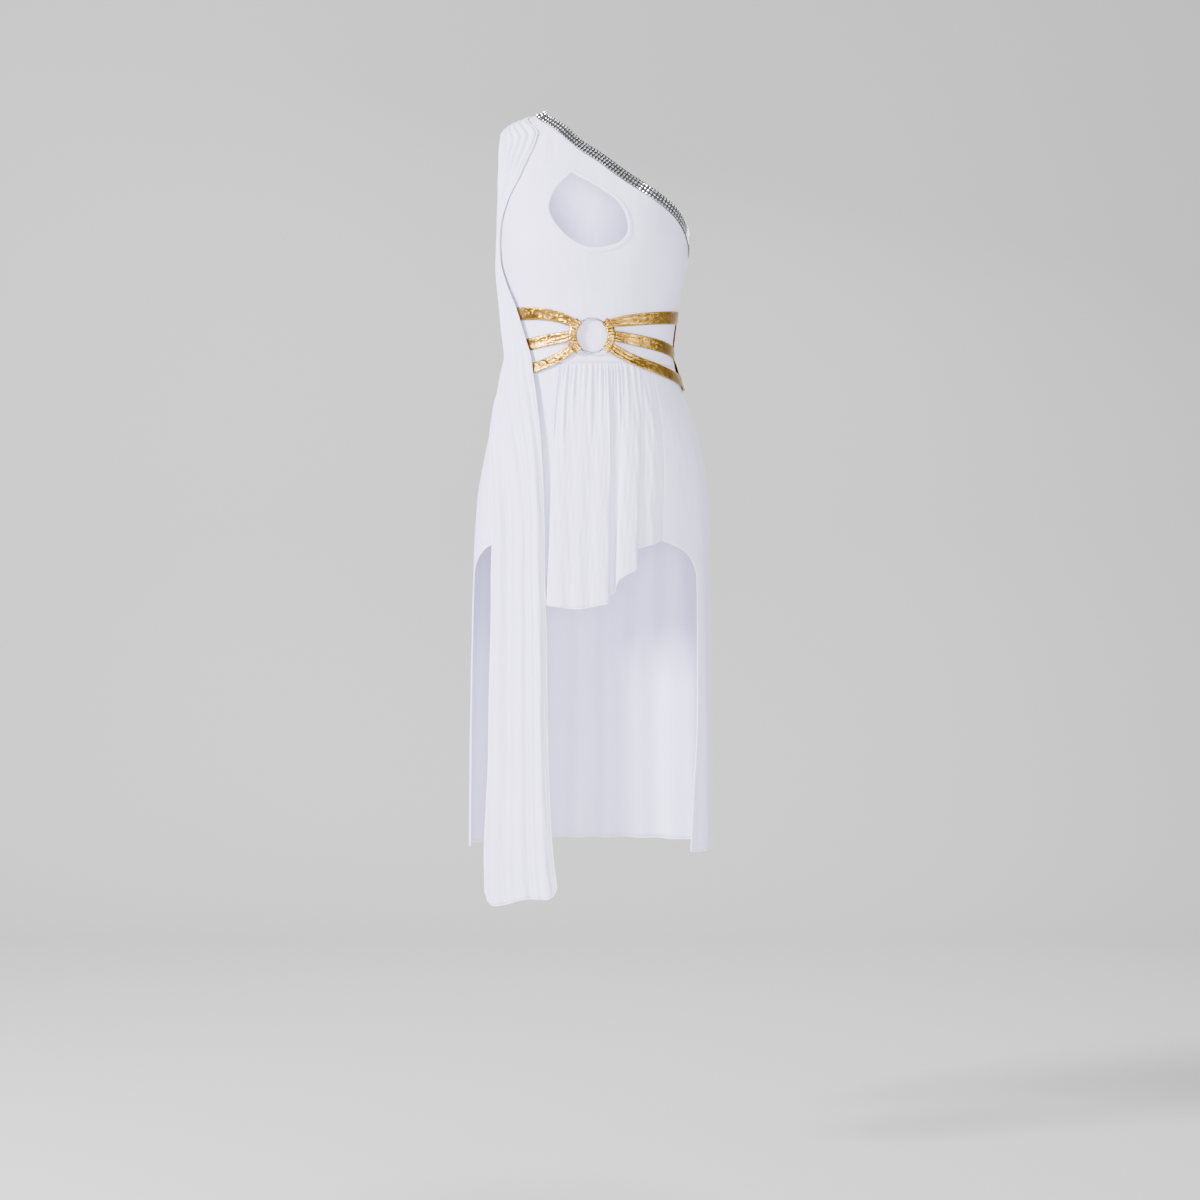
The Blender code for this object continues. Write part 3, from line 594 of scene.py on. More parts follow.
def thread_material():
    """Overlocked edges and topstitching: twisted white thread."""
    material, shader = new_material("white_thread", (0.93, 0.92, 0.98), 0.0, 0.6)
    shader.inputs["Sheen Weight"].default_value = 0.3
    twist = add_texture(material, "Noise", Scale=1400.0, Detail=1.0)
    bump = add_node(material, "ShaderNodeBump", Strength=0.4, Distance=0.0002)
    link_nodes(material, (twist.outputs["Fac"], bump.inputs["Height"]),
               (bump.outputs["Normal"], shader.inputs["Normal"]))
    colour_between(material, twist.outputs["Fac"], (0.90, 0.885, 0.97), (0.96, 0.95, 0.99), shader)
    return material


def foil_material():
    """Gold foil on stretch cloth: mirror-like where taut, crazed with fine wrinkles, dull where rubbed, and
    with dark brown patches of painted reflection in its colour.
    """
    material, shader = new_material("gold_foil", (0.78, 0.56, 0.20), 1.0, 0.26)
    rub_and_painted_reflection = add_texture(material, "Noise", Scale=42.0, Detail=5.0, Roughness=0.6)
    wrinkle = add_texture(material, "Noise", Scale=150.0, Detail=4.0, Roughness=0.6, Distortion=0.8)
    crackle = add_texture(material, "Voronoi", Scale=420.0)
    crackle.feature = "DISTANCE_TO_EDGE"
    dull = add_node(material, "ShaderNodeMapRange", From_Min=0.3, From_Max=0.7, To_Min=0.10, To_Max=0.26)
    big = add_node(material, "ShaderNodeBump", Strength=0.75, Distance=0.0020)
    fine = add_node(material, "ShaderNodeBump", Strength=0.25, Distance=0.0003)
    link_nodes(
        material,
        (rub_and_painted_reflection.outputs["Fac"], dull.inputs["Value"]),
        (dull.outputs["Result"], shader.inputs["Roughness"]),
        (wrinkle.outputs["Fac"], big.inputs["Height"]),
        (crackle.outputs["Distance"], fine.inputs["Height"]),
        (big.outputs["Normal"], fine.inputs["Normal"]),
        (fine.outputs["Normal"], shader.inputs["Normal"]),
    )
    # Painted reflection: the same noise turns the foil's colour from gold to dark brown in patches, which
    # stand in for dark reflections, not for wear.
    colour_between(material, rub_and_painted_reflection.outputs["Fac"], (0.30, 0.16, 0.02), (0.66, 0.40, 0.08), shader)
    return material


def metal_material(name, colour, roughness, scratch):
    """Polished metal with faint wear in its gloss."""
    material, shader = new_material(name, colour, 1.0, roughness)
    wear = add_texture(material, "Noise", Scale=220.0, Detail=4.0)
    gloss = add_node(material, "ShaderNodeMapRange", To_Min=roughness * 0.7, To_Max=roughness + scratch)
    link_nodes(material, (wear.outputs["Fac"], gloss.inputs["Value"]),
               (gloss.outputs["Result"], shader.inputs["Roughness"]))
    return material


def floor_material():
    material, shader = new_material("studio_grey", (0.60, 0.597, 0.605), 0.0, 0.9)
    cloud = add_texture(material, "Noise", Scale=0.6, Detail=2.0)
    colour_between(material, cloud.outputs["Fac"], (0.500, 0.495, 0.468), (0.512, 0.507, 0.480), shader)
    return material


# Making pieces
def add_piece(name, vertices, faces, material, smooth_shading=True):
    mesh = bpy.data.meshes.new(name)
    mesh.from_pydata(np.asarray(vertices).tolist(), [], faces)
    if smooth_shading:
        mesh.shade_smooth()
    mesh.materials.append(material)
    piece = bpy.data.objects.new(name, mesh)
    bpy.context.collection.objects.link(piece)
    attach(piece, "root")
    return piece


def grid_faces(rows, columns, loop):
    here = np.arange(rows * columns).reshape(rows, columns)
    beside = np.roll(here, -1, axis=1)
    stop = columns if loop else columns - 1
    quads = np.stack((here[:-1, :stop], here[1:, :stop], beside[1:, :stop], beside[:-1, :stop]), axis=-1)
    return quads.reshape(-1, 4).tolist()


def cloth_map(piece, points, loop):
    """A flat map of the cloth in metres, for the knit."""
    rows, columns = points.shape[:2]
    across = np.linalg.norm(np.diff(points[rows // 2], axis=0), axis=1).mean()
    down = np.linalg.norm(np.diff(points[:, columns // 2], axis=0), axis=1).mean()
    layer = piece.data.uv_layers.new(name="cloth")
    vertex = np.empty(len(piece.data.loops), dtype=np.int32)
    piece.data.loops.foreach_get("vertex_index", vertex)
    flat = np.stack((vertex % columns * across, vertex // columns * down), axis=-1)
    layer.data.foreach_set("uv", flat.astype(np.float32).ravel())


def add_shell(name, points, material, thickness=SHELL, loop=False):
    """A thin closed shell. Rows run down or outwards and columns counterclockwise: faces look out."""
    faces = grid_faces(*points.shape[:2], loop)
    piece = add_piece(name, points.reshape(-1, 3) - HELD_AT, faces, material)
    cloth_map(piece, points, loop)
    wall = piece.modifiers.new("cloth thickness", "SOLIDIFY")
    wall.thickness = thickness
    wall.offset = 1.0
    return piece


def grid_normals(points, loop=False):
    if loop:
        across = np.roll(points, -1, axis=1) - np.roll(points, 1, axis=1)
    else:
        across = np.gradient(points, axis=1)
    down = np.gradient(points, axis=0)
    normal = np.cross(down, across)
    return normal / np.linalg.norm(normal, axis=-1, keepdims=True)


def resampled(path, *carried, pitch):
    """The path and what goes with it, at an even pitch along it."""
    lengths = np.concatenate(((0.0,), np.cumsum(np.linalg.norm(np.diff(path, axis=0), axis=1))))
    count = max(2, int(round(lengths[-1] / pitch)))
    at = (np.arange(count) + 0.5) * lengths[-1] / count
    return [np.stack([np.interp(at, lengths, item[:, k]) for k in range(3)], axis=-1)
            for item in (path, *carried)]


def directions(path):
    along = np.gradient(path, axis=0)
    return along / np.linalg.norm(along, axis=1, keepdims=True)


def add_edge_roll(name, path, radius, material, sides=8, closed=False):
    """A rolled and overlocked edge, as a tube along the path."""
    along = directions(path)
    if closed:
        along = np.roll(path, -1, axis=0) - np.roll(path, 1, axis=0)
        along /= np.linalg.norm(along, axis=1, keepdims=True)
    side = np.cross(along, (0.0, 0.0, 1.0)) + 1e-6
    for k in range(1, len(side)):
        carried = side[k - 1] - along[k] * (side[k - 1] @ along[k])
        side[k] = carried / np.linalg.norm(carried)
    side[0] /= np.linalg.norm(side[0])
    other = np.cross(along, side)
    turn = np.linspace(0.0, 2.0 * np.pi, sides, endpoint=False)
    ripple = radius * (1.0 + 0.10 * np.sin(np.arange(len(path)) * 1.7))
    ring = side[:, None] * np.cos(turn)[None, :, None] + other[:, None] * np.sin(turn)[None, :, None]
    points = path[:, None] + ring * ripple[:, None, None]
    faces = grid_faces(len(path), sides, True)
    if closed:
        last = (len(path) - 1) * sides
        faces += [(last + k, k, (k + 1) % sides, last + (k + 1) % sides) for k in range(sides)]
    else:
        faces.append(tuple(range(sides)))
        faces.append(tuple(len(path) * sides - 1 - k for k in range(sides)))
    return add_piece(name, points.reshape(-1, 3) - HELD_AT, faces, material)


def add_stitches(name, path, normal, material,
                 pitch=0.0032, length=0.0024, width=0.0007, high=0.00035):
    """A row of separate stitches, each a small grain lying on the cloth."""
    path, normal = resampled(path, normal, pitch=pitch)
    normal = normal / np.linalg.norm(normal, axis=1, keepdims=True)
    along = directions(path)
    aside = np.cross(normal, along)
    points = np.stack((
        path - along * length / 2.0, path + along * length / 2.0,
        path - aside * width / 2.0, path + aside * width / 2.0,
        path - normal * high, path + normal * high), axis=1)
    sides = ((1, 3, 5), (3, 0, 5), (0, 2, 5), (2, 1, 5), (3, 1, 4), (0, 3, 4), (2, 0, 4), (1, 2, 4))
    faces = [tuple(6 * k + v for v in face) for k in range(len(path)) for face in sides]
    return add_piece(name, points.reshape(-1, 3) - HELD_AT, faces, material)


# Bodice
def neck_height(angle):
    turn = (np.asarray(angle, float) - SIDE_SHOULDER) % 360.0 + SIDE_SHOULDER
    return table_curve(NECKLINE, 0, 1, turn)


def armhole_edge(share, side):
    """side is 1 for the front, where angles grow from the side seam, and -1 for the back."""
    steps = np.linspace(0.0, 1.0, len(ARMHOLE))
    table = np.array(ARMHOLE)
    angle = SIDE_SHOULDER + side * (smooth(steps, table[:, 0], share) + SEAM_ANGLE)
    return np.stack((angle, smooth(steps, table[:, 1], share)), axis=-1)


def straight(start, end, steps):
    share = np.linspace(0.0, 1.0, steps * OUTLINE_DETAIL + 1)
    return np.array(start) + (np.array(end) - np.array(start)) * share[:, None]


def front_outline():
    """The front panel's edge as angle and height, counterclockwise from the bare-side neck corner."""
    low = WAIST + SEAM_HEIGHT
    left = SIDE_SHOULDER + SEAM_ANGLE
    right = SIDE_BARE - SEAM_ANGLE
    neck = np.linspace(right, left, 32 * OUTLINE_DETAIL + 1)
    runs = (
        np.stack((neck, neck_height(neck)), axis=-1),
        straight((left, neck_height(left)), (left, ARMHOLE[-1][1]), 3),
        armhole_edge(np.linspace(1.0, 0.0, 10 * OUTLINE_DETAIL + 1), 1),
        straight((left, ARMHOLE[0][1]), (left, low), 10),
        straight((left, low), (right, low), 18),
        straight((right, low), (right, neck_height(right)), 9),
    )
    return np.concatenate([run[:-1] for run in runs])


def keyhole_rings(outline):
    """The keyhole edge and the outer edge of its band, one point for each outline point."""
    centre = np.array(KEYHOLE_CENTRE)
    scale = np.array((METRES_PER_DEGREE, 1.0))
    spokes = (outline - centre) * scale
    direction = np.degrees(np.arctan2(spokes[:, 1], spokes[:, 0])) % 360.0
    radius = table_curve(KEYHOLE, 0, 1, direction)
    band = table_curve(KEYHOLE, 0, 2, direction)
    unit = spokes / np.linalg.norm(spokes, axis=1, keepdims=True)
    return centre + unit * radius[:, None] / scale, centre + unit * (radius + band)[:, None] / scale


def bodice_out(angle, height):
    drag = creased(BODICE_CREASES, angle, height, METRES_PER_DEGREE, 1.0)
    return SHELL_OUT + np.clip(drag + 0.0006 * unevenness(angle, height), 0.0, MOST_DRAG)


def between(first, last, shares):
    return np.stack([first + (last - first) * share for share in shares])


def add_bodice_front(cloth, thread):
    outline = front_outline()
    edge, band = keyhole_rings(outline)
    grid = between(edge, outline, np.linspace(0.0, 1.0, BODICE_ROWS + 1) ** 1.15)
    points = on_figure(grid[..., 0], grid[..., 1], bodice_out(grid[..., 0], grid[..., 1]))
    panel = add_shell("bodice_front_cloth", points, cloth, loop=True)
    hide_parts("bodice_front")
    shares = np.linspace(-0.06, 1.0, 9)
    bound = between(edge, band, shares)
    swell = np.sin(np.pi * np.clip((shares + 0.06) / 1.06, 0.0, 1.0)) ** 0.6
    lift = BINDING_OUT - 0.0008 * (1.0 - swell)[:, None]
    ring = on_figure(bound[..., 0], bound[..., 1], lift + 0.0 * bound[..., 0])
    binding = add_shell("keyhole_binding_cloth", ring, cloth, loop=True)
    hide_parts("keyhole_binding")
    for number, share in ((1, 0.78), (2, 0.93)):
        line = edge + (band - edge) * share
        path = on_figure(line[:, 0], line[:, 1], BINDING_OUT + SHELL * 0.9)
        normal = on_figure(line[:, 0], line[:, 1], 1.0) - on_figure(line[:, 0], line[:, 1], 0.0)
        name = f"keyhole_stitches_{number}"
        add_stitches(name, path, normal, thread, pitch=0.0028, length=0.0020)


def patch(top, bottom, left, right):
    """A surface between four edges. top and bottom run with the columns, left and right down the rows."""
    across = np.linspace(0.0, 1.0, len(top))[None, :, None]
    down = np.linspace(0.0, 1.0, len(left))[:, None, None]
    ruled = ((1.0 - down) * top[None] + down * bottom[None]
             + (1.0 - across) * left[:, None] + across * right[:, None])
    corners = ((1.0 - down) * ((1.0 - across) * top[0] + across * top[-1])
               + down * ((1.0 - across) * bottom[0] + across * bottom[-1]))
    return ruled - corners


def add_bodice_back(cloth):
    first = SIDE_BARE + SEAM_ANGLE
    last = SIDE_BARE + SIDE_SHOULDER - SEAM_ANGLE
    low = WAIST + SEAM_HEIGHT
    neck = np.linspace(first, last, 28 * OUTLINE_DETAIL + 1)
    top = np.stack((neck, neck_height(neck)), axis=-1)
    bottom = straight((first, low), (last, low), 28)
    ridge = straight((last, neck_height(last)), (last, ARMHOLE[-1][1]), 2)
    armhole = armhole_edge(np.linspace(1.0, 0.0, 7 * OUTLINE_DETAIL + 1), -1) + (SIDE_BARE, 0.0)
    seam = straight((last, ARMHOLE[0][1]), (last, low), 9)
    shoulder_side = np.concatenate((ridge[:-1], armhole[:-1], seam))
    share = np.linspace(0.0, 1.0, len(shoulder_side))[:, None]
    bare_side = top[0] + (bottom[0] - top[0]) * share
    grid = patch(top, bottom, bare_side, shoulder_side)
    points = on_figure(grid[..., 0], grid[..., 1], bodice_out(grid[..., 0], grid[..., 1]))
    panel = add_shell("bodice_back_cloth", points, cloth)
    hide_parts("bodice_back")


# Neck trim
def in_from_neck(angle, width):
    """Angles and heights a set width in from the neck edge."""
    after, before = (figure_point(angle + step, neck_height(angle + step)) for step in (0.5, -0.5))
    along = after - before
    normal = on_figure(angle, neck_height(angle), 1.0) - figure_point(angle, neck_height(angle))
    return slide(angle, neck_height(angle), np.cross(along, normal), width)


def even_neck_angles(pitch):
    angle = np.linspace(SIDE_SHOULDER, SIDE_SHOULDER + 360.0, 1441)
    path = figure_point(*in_from_neck(angle, TRIM_WIDTH / 2.0))
    lengths = np.concatenate(((0.0,), np.cumsum(np.linalg.norm(np.diff(path, axis=0), axis=1))))
    count = int(round(lengths[-1] / pitch))
    return np.interp(np.arange(count) * lengths[-1] / count, lengths, angle)


def ring_of(sides, radius, height, turn=0.0):
    angle = np.linspace(0.0, 2.0 * np.pi, sides, endpoint=False) + turn
    return np.stack((radius * np.cos(angle), radius * np.sin(angle), np.full(sides, height)), axis=-1)


def cut_stone():
    """A round stone with a flat table and eight kite facets, as points and faces."""
    half = np.pi / 8.0
    points = np.concatenate((
        ring_of(8, STONE_RADIUS * 0.96, 0.0004), ring_of(8, STONE_RADIUS, 0.0010),
        ring_of(8, STONE_RADIUS * 0.62, 0.0019, half)))
    faces = [(k, (k + 1) % 8, 8 + (k + 1) % 8, 8 + k) for k in range(8)]
    faces += [(8 + k, 8 + (k + 1) % 8, 16 + k) for k in range(8)]
    faces += [(8 + (k + 1) % 8, 16 + (k + 1) % 8, 16 + k) for k in range(8)]
    faces.append(tuple(range(16, 24)))
    faces.append(tuple(range(7, -1, -1)))
    return points, faces


def stone_cup():
    """The metal cup that holds a stone, with four prongs bent over its rim."""
    points = [ring_of(8, CUP_RADIUS * 0.9, 0.0), ring_of(8, CUP_RADIUS, 0.0011)]
    points.append(ring_of(8, STONE_RADIUS * 1.02, 0.0011))
    faces = [(k, (k + 1) % 8, 8 + (k + 1) % 8, 8 + k) for k in range(8)]
    faces += [(8 + k, 8 + (k + 1) % 8, 16 + (k + 1) % 8, 16 + k) for k in range(8)]
    faces += [(16 + k, 16 + (k + 1) % 8, (k + 1) % 8, k) for k in range(8)]
    for number in range(4):
        turn = np.pi / 4.0 + number * np.pi / 2.0
        start = 24 + number * 4
        out = np.array((np.cos(turn), np.sin(turn), 0.0))
        aside = np.array((-np.sin(turn), np.cos(turn), 0.0)) * 0.00035
        root = out * CUP_RADIUS + (0.0, 0.0, 0.0009)
        tip = out * STONE_RADIUS * 0.80 + (0.0, 0.0, 0.0017)
        points.append(np.stack((root - aside, root + aside, root - out * 0.0004, tip)))
        faces += [(start, start + 1, start + 3), (start + 1, start + 2, start + 3)]
        faces += [(start + 2, start, start + 3), (start + 1, start, start + 2)]
    return np.concatenate(points), faces


def scattered(shape, places, along, normal):
    """One shape at each place, joined."""
    points, faces = shape
    aside = np.cross(normal, along)
    frames = np.stack((along, aside, normal), axis=1)
    moved = places[:, None] + np.einsum("pk,nkc->npc", points, frames)
    count = len(points)
    joined = [tuple(number * count + v for v in face)
              for number in range(len(places)) for face in faces]
    return moved.reshape(-1, 3), joined


def add_neck_trim(band_material, stone_material, cup_material):
    angle = even_neck_angles(0.0025)
    rows = []
    for width in np.linspace(0.0, TRIM_WIDTH, 7):
        turn, height = in_from_neck(angle, width)
        rows.append(on_figure(turn, height, TRIM_OUT))
    band = add_shell("neck_trim_band", np.stack(rows), band_material, TRIM_SHELL, loop=True)
    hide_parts("neck_trim")
    columns = even_neck_angles(STONE_PITCH)
    places, along, normals = [], [], []
    for width in STONE_ROWS:
        turn, height = in_from_neck(columns, width)
        base = on_figure(turn, height, TRIM_OUT + TRIM_SHELL)
        normal = on_figure(turn, height, 1.0) - on_figure(turn, height, 0.0)
        run = np.roll(base, -1, axis=0) - np.roll(base, 1, axis=0)
        run -= normal * (run * normal).sum(axis=1, keepdims=True)
        places.append(base)
        normals.append(normal)
        along.append(run / np.linalg.norm(run, axis=1, keepdims=True))
    places, along, normals = (np.concatenate(item) for item in (places, along, normals))
    stones = scattered(cut_stone(), places, along, normals)
    add_piece("trim_stones", stones[0] - HELD_AT, stones[1], stone_material, False)
    cups = scattered(stone_cup(), places, along, normals)
    add_piece("trim_cups", cups[0] - HELD_AT, cups[1], cup_material, False)


# Skirt
def seam_angle(height, edge=BACK_EDGE):
    """An edge of the back skirt panel, which the front panel meets above the arch."""
    table = np.array(edge)[::-1]
    return smooth(table[:, 0], table[:, 1], height)


def skirt_front_points():
    """The front panel: its grid lines spread from gathers at the waist into folds at the hem."""
    lines = np.array(SKIRT_LINES)
    places = np.arange(len(lines), dtype=float)
    last = places[-1]
    at = np.linspace(0.0, last, (len(lines) - 1) * FRONT_LINE_STEPS + 1)
    waist_angle, hem_angle, proud, hem = (smooth(places, lines[:, k], at) for k in range(4))
    down = np.linspace(0.0, 1.0, FRONT_ROWS + 1)[:, None]
    top = WAIST - SEAM_HEIGHT
    height = top + (hem - top) * down
    angle = waist_angle + (hem_angle - waist_angle) * ease(down)
    bare_seam = np.minimum(seam_angle(height[:, -1:]), seam_angle(np.array((top,)))) - SEAM_ANGLE
    near_bare = np.clip(at - last + SEAM_BLEND, 0.0, SEAM_BLEND) / SEAM_BLEND
    angle = angle + (bare_seam - angle[:, -1:]) * near_bare
    shoulder_seam = FRONT_TURN - bare_seam
    near_shoulder = np.clip(SEAM_BLEND - at, 0.0, SEAM_BLEND) / SEAM_BLEND
    angle = angle + (shoulder_seam - angle[:, :1]) * near_shoulder
    gather = 0.0
    for line, half_width, high, length in GATHERS:
        reach = (1.0 - ease(down / length)) * ease(down / 0.035)
        gather = gather + high * (1.0 - ease(np.abs(at - line) / half_width)) * reach
    swell = 0.0012 * unevenness(angle * 2.0, height) * ease(down / 0.3)
    sides = ease(at / 2.0) * ease((last - at) / 2.0)
    return on_figure(angle, height, SHELL_OUT + proud * down ** 1.3 + (gather + swell) * sides)


def add_skirt_front(cloth, thread):
    points = skirt_front_points()
    panel = add_shell("skirt_front_cloth", points, cloth)
    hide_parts("skirt_front")
    normal = grid_normals(points)
    edge = points[-1] + normal[-1] * SHELL / 2.0
    roll = add_edge_roll("skirt_front_hem", edge, HEM_ROLL, thread)
    path = points[-3] + normal[-3] * SHELL
    stitch = add_stitches("skirt_front_stitches", path, normal[-3], thread)


def rim(grid, first, inset=0, rise=0):
    """Down one side of a panel from a row, along its hem and up its other side, some grid steps in."""
    low = len(grid) - 1 - rise
    last = grid.shape[1] - 1 - inset
    other_side = grid[first:low + 1, last][::-1]
    return np.concatenate((grid[first:low + 1, inset], grid[low, inset + 1:last], other_side))


def back_angles(height, share):
    """Angles of the back panel's columns, which bend with a free edge only near it."""
    first = BACK_EDGE[0][1]
    last = SHOULDER_EDGE[0][1]
    from_bare = (seam_angle(height) - first + SEAM_ANGLE) * (1.0 - share) ** EDGE_REACH
    from_shoulder = (seam_angle(height, SHOULDER_EDGE) - last - SEAM_ANGLE) * share ** EDGE_REACH
    return first + (last - first) * share + from_bare + from_shoulder


def back_proud(angle, height):
    total = 0.0009 * unevenness(angle * 1.6, height) * ease((WAIST - height) / 0.1)
    hip_share = ease((WAIST - 0.03 - height) / (WAIST - 0.03 - HIP))
    hem_share = np.clip((HIP - height) / (HIP - BACK_HEM), 0.0, 1.0)
    for middle, half_width, at_hip, at_hem in BACK_FLUTES:
        bump = 1.0 - ease(np.abs(angle - middle) / half_width)
        total = total + bump * (at_hip * hip_share * (1.0 - hem_share) + at_hem * hem_share)
    for middle, half_width, proud, foot in BACK_GATHERS:
        reach = ease((WAIST - height) / 0.012) * (1.0 - ease((WAIST - height) / (WAIST - foot)))
        total = total + proud * (1.0 - ease(np.abs(angle - middle) / half_width)) * reach
    return total


def back_heights():
    """Rows of the back panel, close together round the arch."""
    keys = np.array((0.0, 0.34, 0.36, 0.52, 0.60, 1.0))
    heights = np.array((-0.3561, -0.5960, -0.6000, -0.6300, -0.6700, BACK_HEM))
    return np.interp(np.linspace(0.0, 1.0, BACK_ROWS + 1), keys, heights)


def add_skirt_back(cloth, thread):
    height = back_heights()[:, None]
    share = np.linspace(0.0, 1.0, BACK_COLUMNS + 1)[None, :]
    angle = back_angles(height, share)
    edges = ease(share / 0.03) * ease((1.0 - share) / 0.03)
    points = on_figure(angle, height + 0.0 * angle, SHELL_OUT + back_proud(angle, height) * edges)
    panel = add_shell("skirt_back_cloth", points, cloth)
    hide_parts("skirt_back")
    normal = grid_normals(points)
    arch = int(np.argmin(np.abs(height - ARCH_TOP)))
    edge = rim(points + normal * SHELL / 2.0, arch)
    roll = add_edge_roll("skirt_back_hem", edge, HEM_ROLL, thread)
    path, path_normal = (rim(grid, arch + 2, 2, 2) for grid in (points + normal * SHELL, normal))
    stitch = add_stitches("skirt_back_stitches", path, path_normal, thread)


# Shoulder drape
def drape_points():
    rows = np.array(DRAPE_ROWS)
    places = np.arange(len(rows), dtype=float)
    last = places[-1]
    at = np.linspace(0.0, last, (len(rows) - 1) * DRAPE_ROW_STEPS + 1)
    outer_angle, outer_height, inner_angle, inner_height, outer_out, inner_out, scale = (
        smooth(places, rows[:, k], at)[:, None] for k in range(7))
    share = np.linspace(0.0, 1.0, DRAPE_COLUMNS + 1)[None, :]
    down = (at / last)[:, None]
    proud = 0.0
    lower = ease((down - 0.42) / 0.35)
    for at_shoulder, at_waist, at_hem, half, hem_half, high, hem_high in DRAPE_PLEATS:
        middle = smooth((0.0, 0.45, 0.8, 1.0), (at_shoulder, at_waist, at_hem, at_hem), down)
        half_width = half + (hem_half - half) * lower
        tall = high + (hem_high - high) * lower
        proud = proud + tall * scale * (1.0 - ease(np.abs(share - middle) / half_width))
    proud = proud + creased(DRAPE_CREASES, at[:, None], share, 0.04, 0.10 / 0.11)
    angle = outer_angle + (inner_angle - outer_angle) * share
    height = outer_height + (inner_height - outer_height) * share
    level = outer_height[-1] + (inner_height[-1] - outer_height[-1]) * share
    near_hem = ease((at[:, None] - last + DRAPE_HEM_ROWS) / DRAPE_HEM_ROWS)
    height = height + (table_curve(DRAPE_HEM, 0, 1, share) - level) * near_hem
    proud = proud + 0.0009 * unevenness(share * 170.0, height) * ease(down / 0.1)
    return on_figure(angle, height, outer_out + (inner_out - outer_out) * share + np.maximum(proud, 0.0))


def add_drape(cloth, thread):
    points = drape_points()
    panel = add_shell("shoulder_drape_cloth", points, cloth)
    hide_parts("shoulder_drape")
    normal = grid_normals(points)
    edge = rim(points + normal * SHELL / 2.0, 2)
    roll = add_edge_roll("drape_hem", edge, HEM_ROLL, thread)
    path, path_normal = (rim(grid, DRAPE_STITCH_ROW, 3, 1) for grid in (points + normal * SHELL, normal))
    stitch = add_stitches("drape_stitches", path, path_normal, thread)


# Belt
def belt_out(height):
    """The belt lies close on the bodice and a little further out over the gathered skirt."""
    return BELT_OUT + 0.0018 * ease((-0.345 - height) / 0.020)


def ring_side_angle(x, height):
    middle, half_width, front, square = (table_curve(FIGURE, 0, k, height) for k in (1, 2, 3, 5))
    depth = -front * (1.0 - np.abs((x - middle) / half_width) ** square) ** (1.0 / square)
    return np.degrees(np.arctan2(depth, x - middle)) % 360.0


def strap_points(direction, middle_angle, middle_height, end_height, side):
    """A ribbon from the ring to the side, with small pleats where it is drawn in to the ring."""
    reach = (RING_DIAMETER - RING_WIRE) / 2.0 + TAB_BODY + TAB_TAIL + STRAP_END_GAP - 0.0015
    at = np.linspace(0.0, 1.0, 97)
    bend = 4.0 * at * (1.0 - at)
    middle = middle_angle if side > 0 else FRONT_TURN - middle_angle
    end = STRAP_END_ANGLE if side > 0 else FRONT_TURN - STRAP_END_ANGLE
    rise = STRAP_RISE * (1.0 - ease(at / 0.30))
    drawn = 1.0 - ease(at / 0.50)
    rows = []
    for way in np.linspace(0.5, -0.5, 15):
        turn = np.radians(direction) + way * STRAP_RING_WIDTH / reach
        start_height = RING_CENTRE[2] + reach * np.sin(turn)
        start = ring_side_angle(RING_CENTRE[0] + side * reach * np.cos(turn), start_height)
        last_height = end_height + way * STRAP_WIDTH
        halfway = middle_height + way * STRAP_WIDTH
        sag = halfway - (start_height + last_height) / 2
        height = start_height + (last_height - start_height) * at + bend * sag
        angle = start + (end - start) * at + bend * (middle - (start + end) / 2)
        pleat = 0.0007 * drawn * (1.0 + np.cos(way * 17.0 + 5.0 * at + direction))
        ripples = np.sin(at * 61.0 + way * 9.0 + direction) * np.cos(at * 23.0 - way * 13.0)
        rolled = -0.0004 * ease((abs(way) - 0.40) / 0.10)
        out = belt_out(height) + rise + pleat + 0.00035 * drawn * ripples + rolled + 0.0002
        rows.append(on_figure(angle, height, out))
    points = np.stack(rows)
    return points if side > 0 else points[:, ::-1]


def add_straps(foil, thread):
    for name, side, direction, middle_angle, middle_height, end_height, length in STRAPS:
        points = strap_points(direction, middle_angle, middle_height, end_height, side)
        strap = add_shell(f"strap_{name}", points, foil, FOIL_SHELL)
        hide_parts(f"belt_strap_{name}")
        normal = grid_normals(points)
        for number, row in ((1, 1), (2, -2)):
            path = points[row] + normal[row] * FOIL_SHELL
            add_stitches(f"strap_{name}_stitches_{number}", path, normal[row], thread,
                                     0.0026, 0.0019, 0.0005, 0.0002)


def add_belt_back(foil):
    angle = np.linspace(BAND_START, BACK_TURN - BAND_START, 181)[None, :]
    height = np.linspace(BACK_BAND[0], BACK_BAND[1], 41)[:, None]
    ruck = 0.0006 * np.sin(height * 330.0 + angle * 0.05) * np.sin(angle * 0.21 + height * 30.0)
    points = on_figure(angle, height, belt_out(height) + ruck + 0.0005)
    band = add_shell("belt_back_band", points, foil, FOIL_SHELL)
    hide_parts("belt_back")


def add_ring(metal):
    steps, sides = 144, 20
    turn = np.linspace(0.0, 2.0 * np.pi, steps, endpoint=False)[None, :, None]
    round_wire = np.linspace(0.0, 2.0 * np.pi, sides + 1)[:, None, None]
    reach = (RING_DIAMETER - RING_WIRE) / 2.0 + RING_WIRE / 2.0 * np.cos(round_wire)
    through = RING_WIRE / 2.0 * np.sin(round_wire) + 0.0 * turn
    points = np.concatenate((reach * np.cos(turn), through, reach * np.sin(turn)), axis=-1)
    points = points[:-1] + RING_CENTRE
    here = np.arange(sides * steps).reshape(sides, steps)
    around, over = np.roll(here, -1, axis=1), np.roll(here, -1, axis=0)
    corner = np.roll(over, -1, axis=1)
    faces = np.stack((here, around, corner, over), axis=-1).reshape(-1, 4).tolist()
    ring = add_piece("ring_wire", points.reshape(-1, 3) - HELD_AT, faces, metal)
    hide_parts("belt_ring")


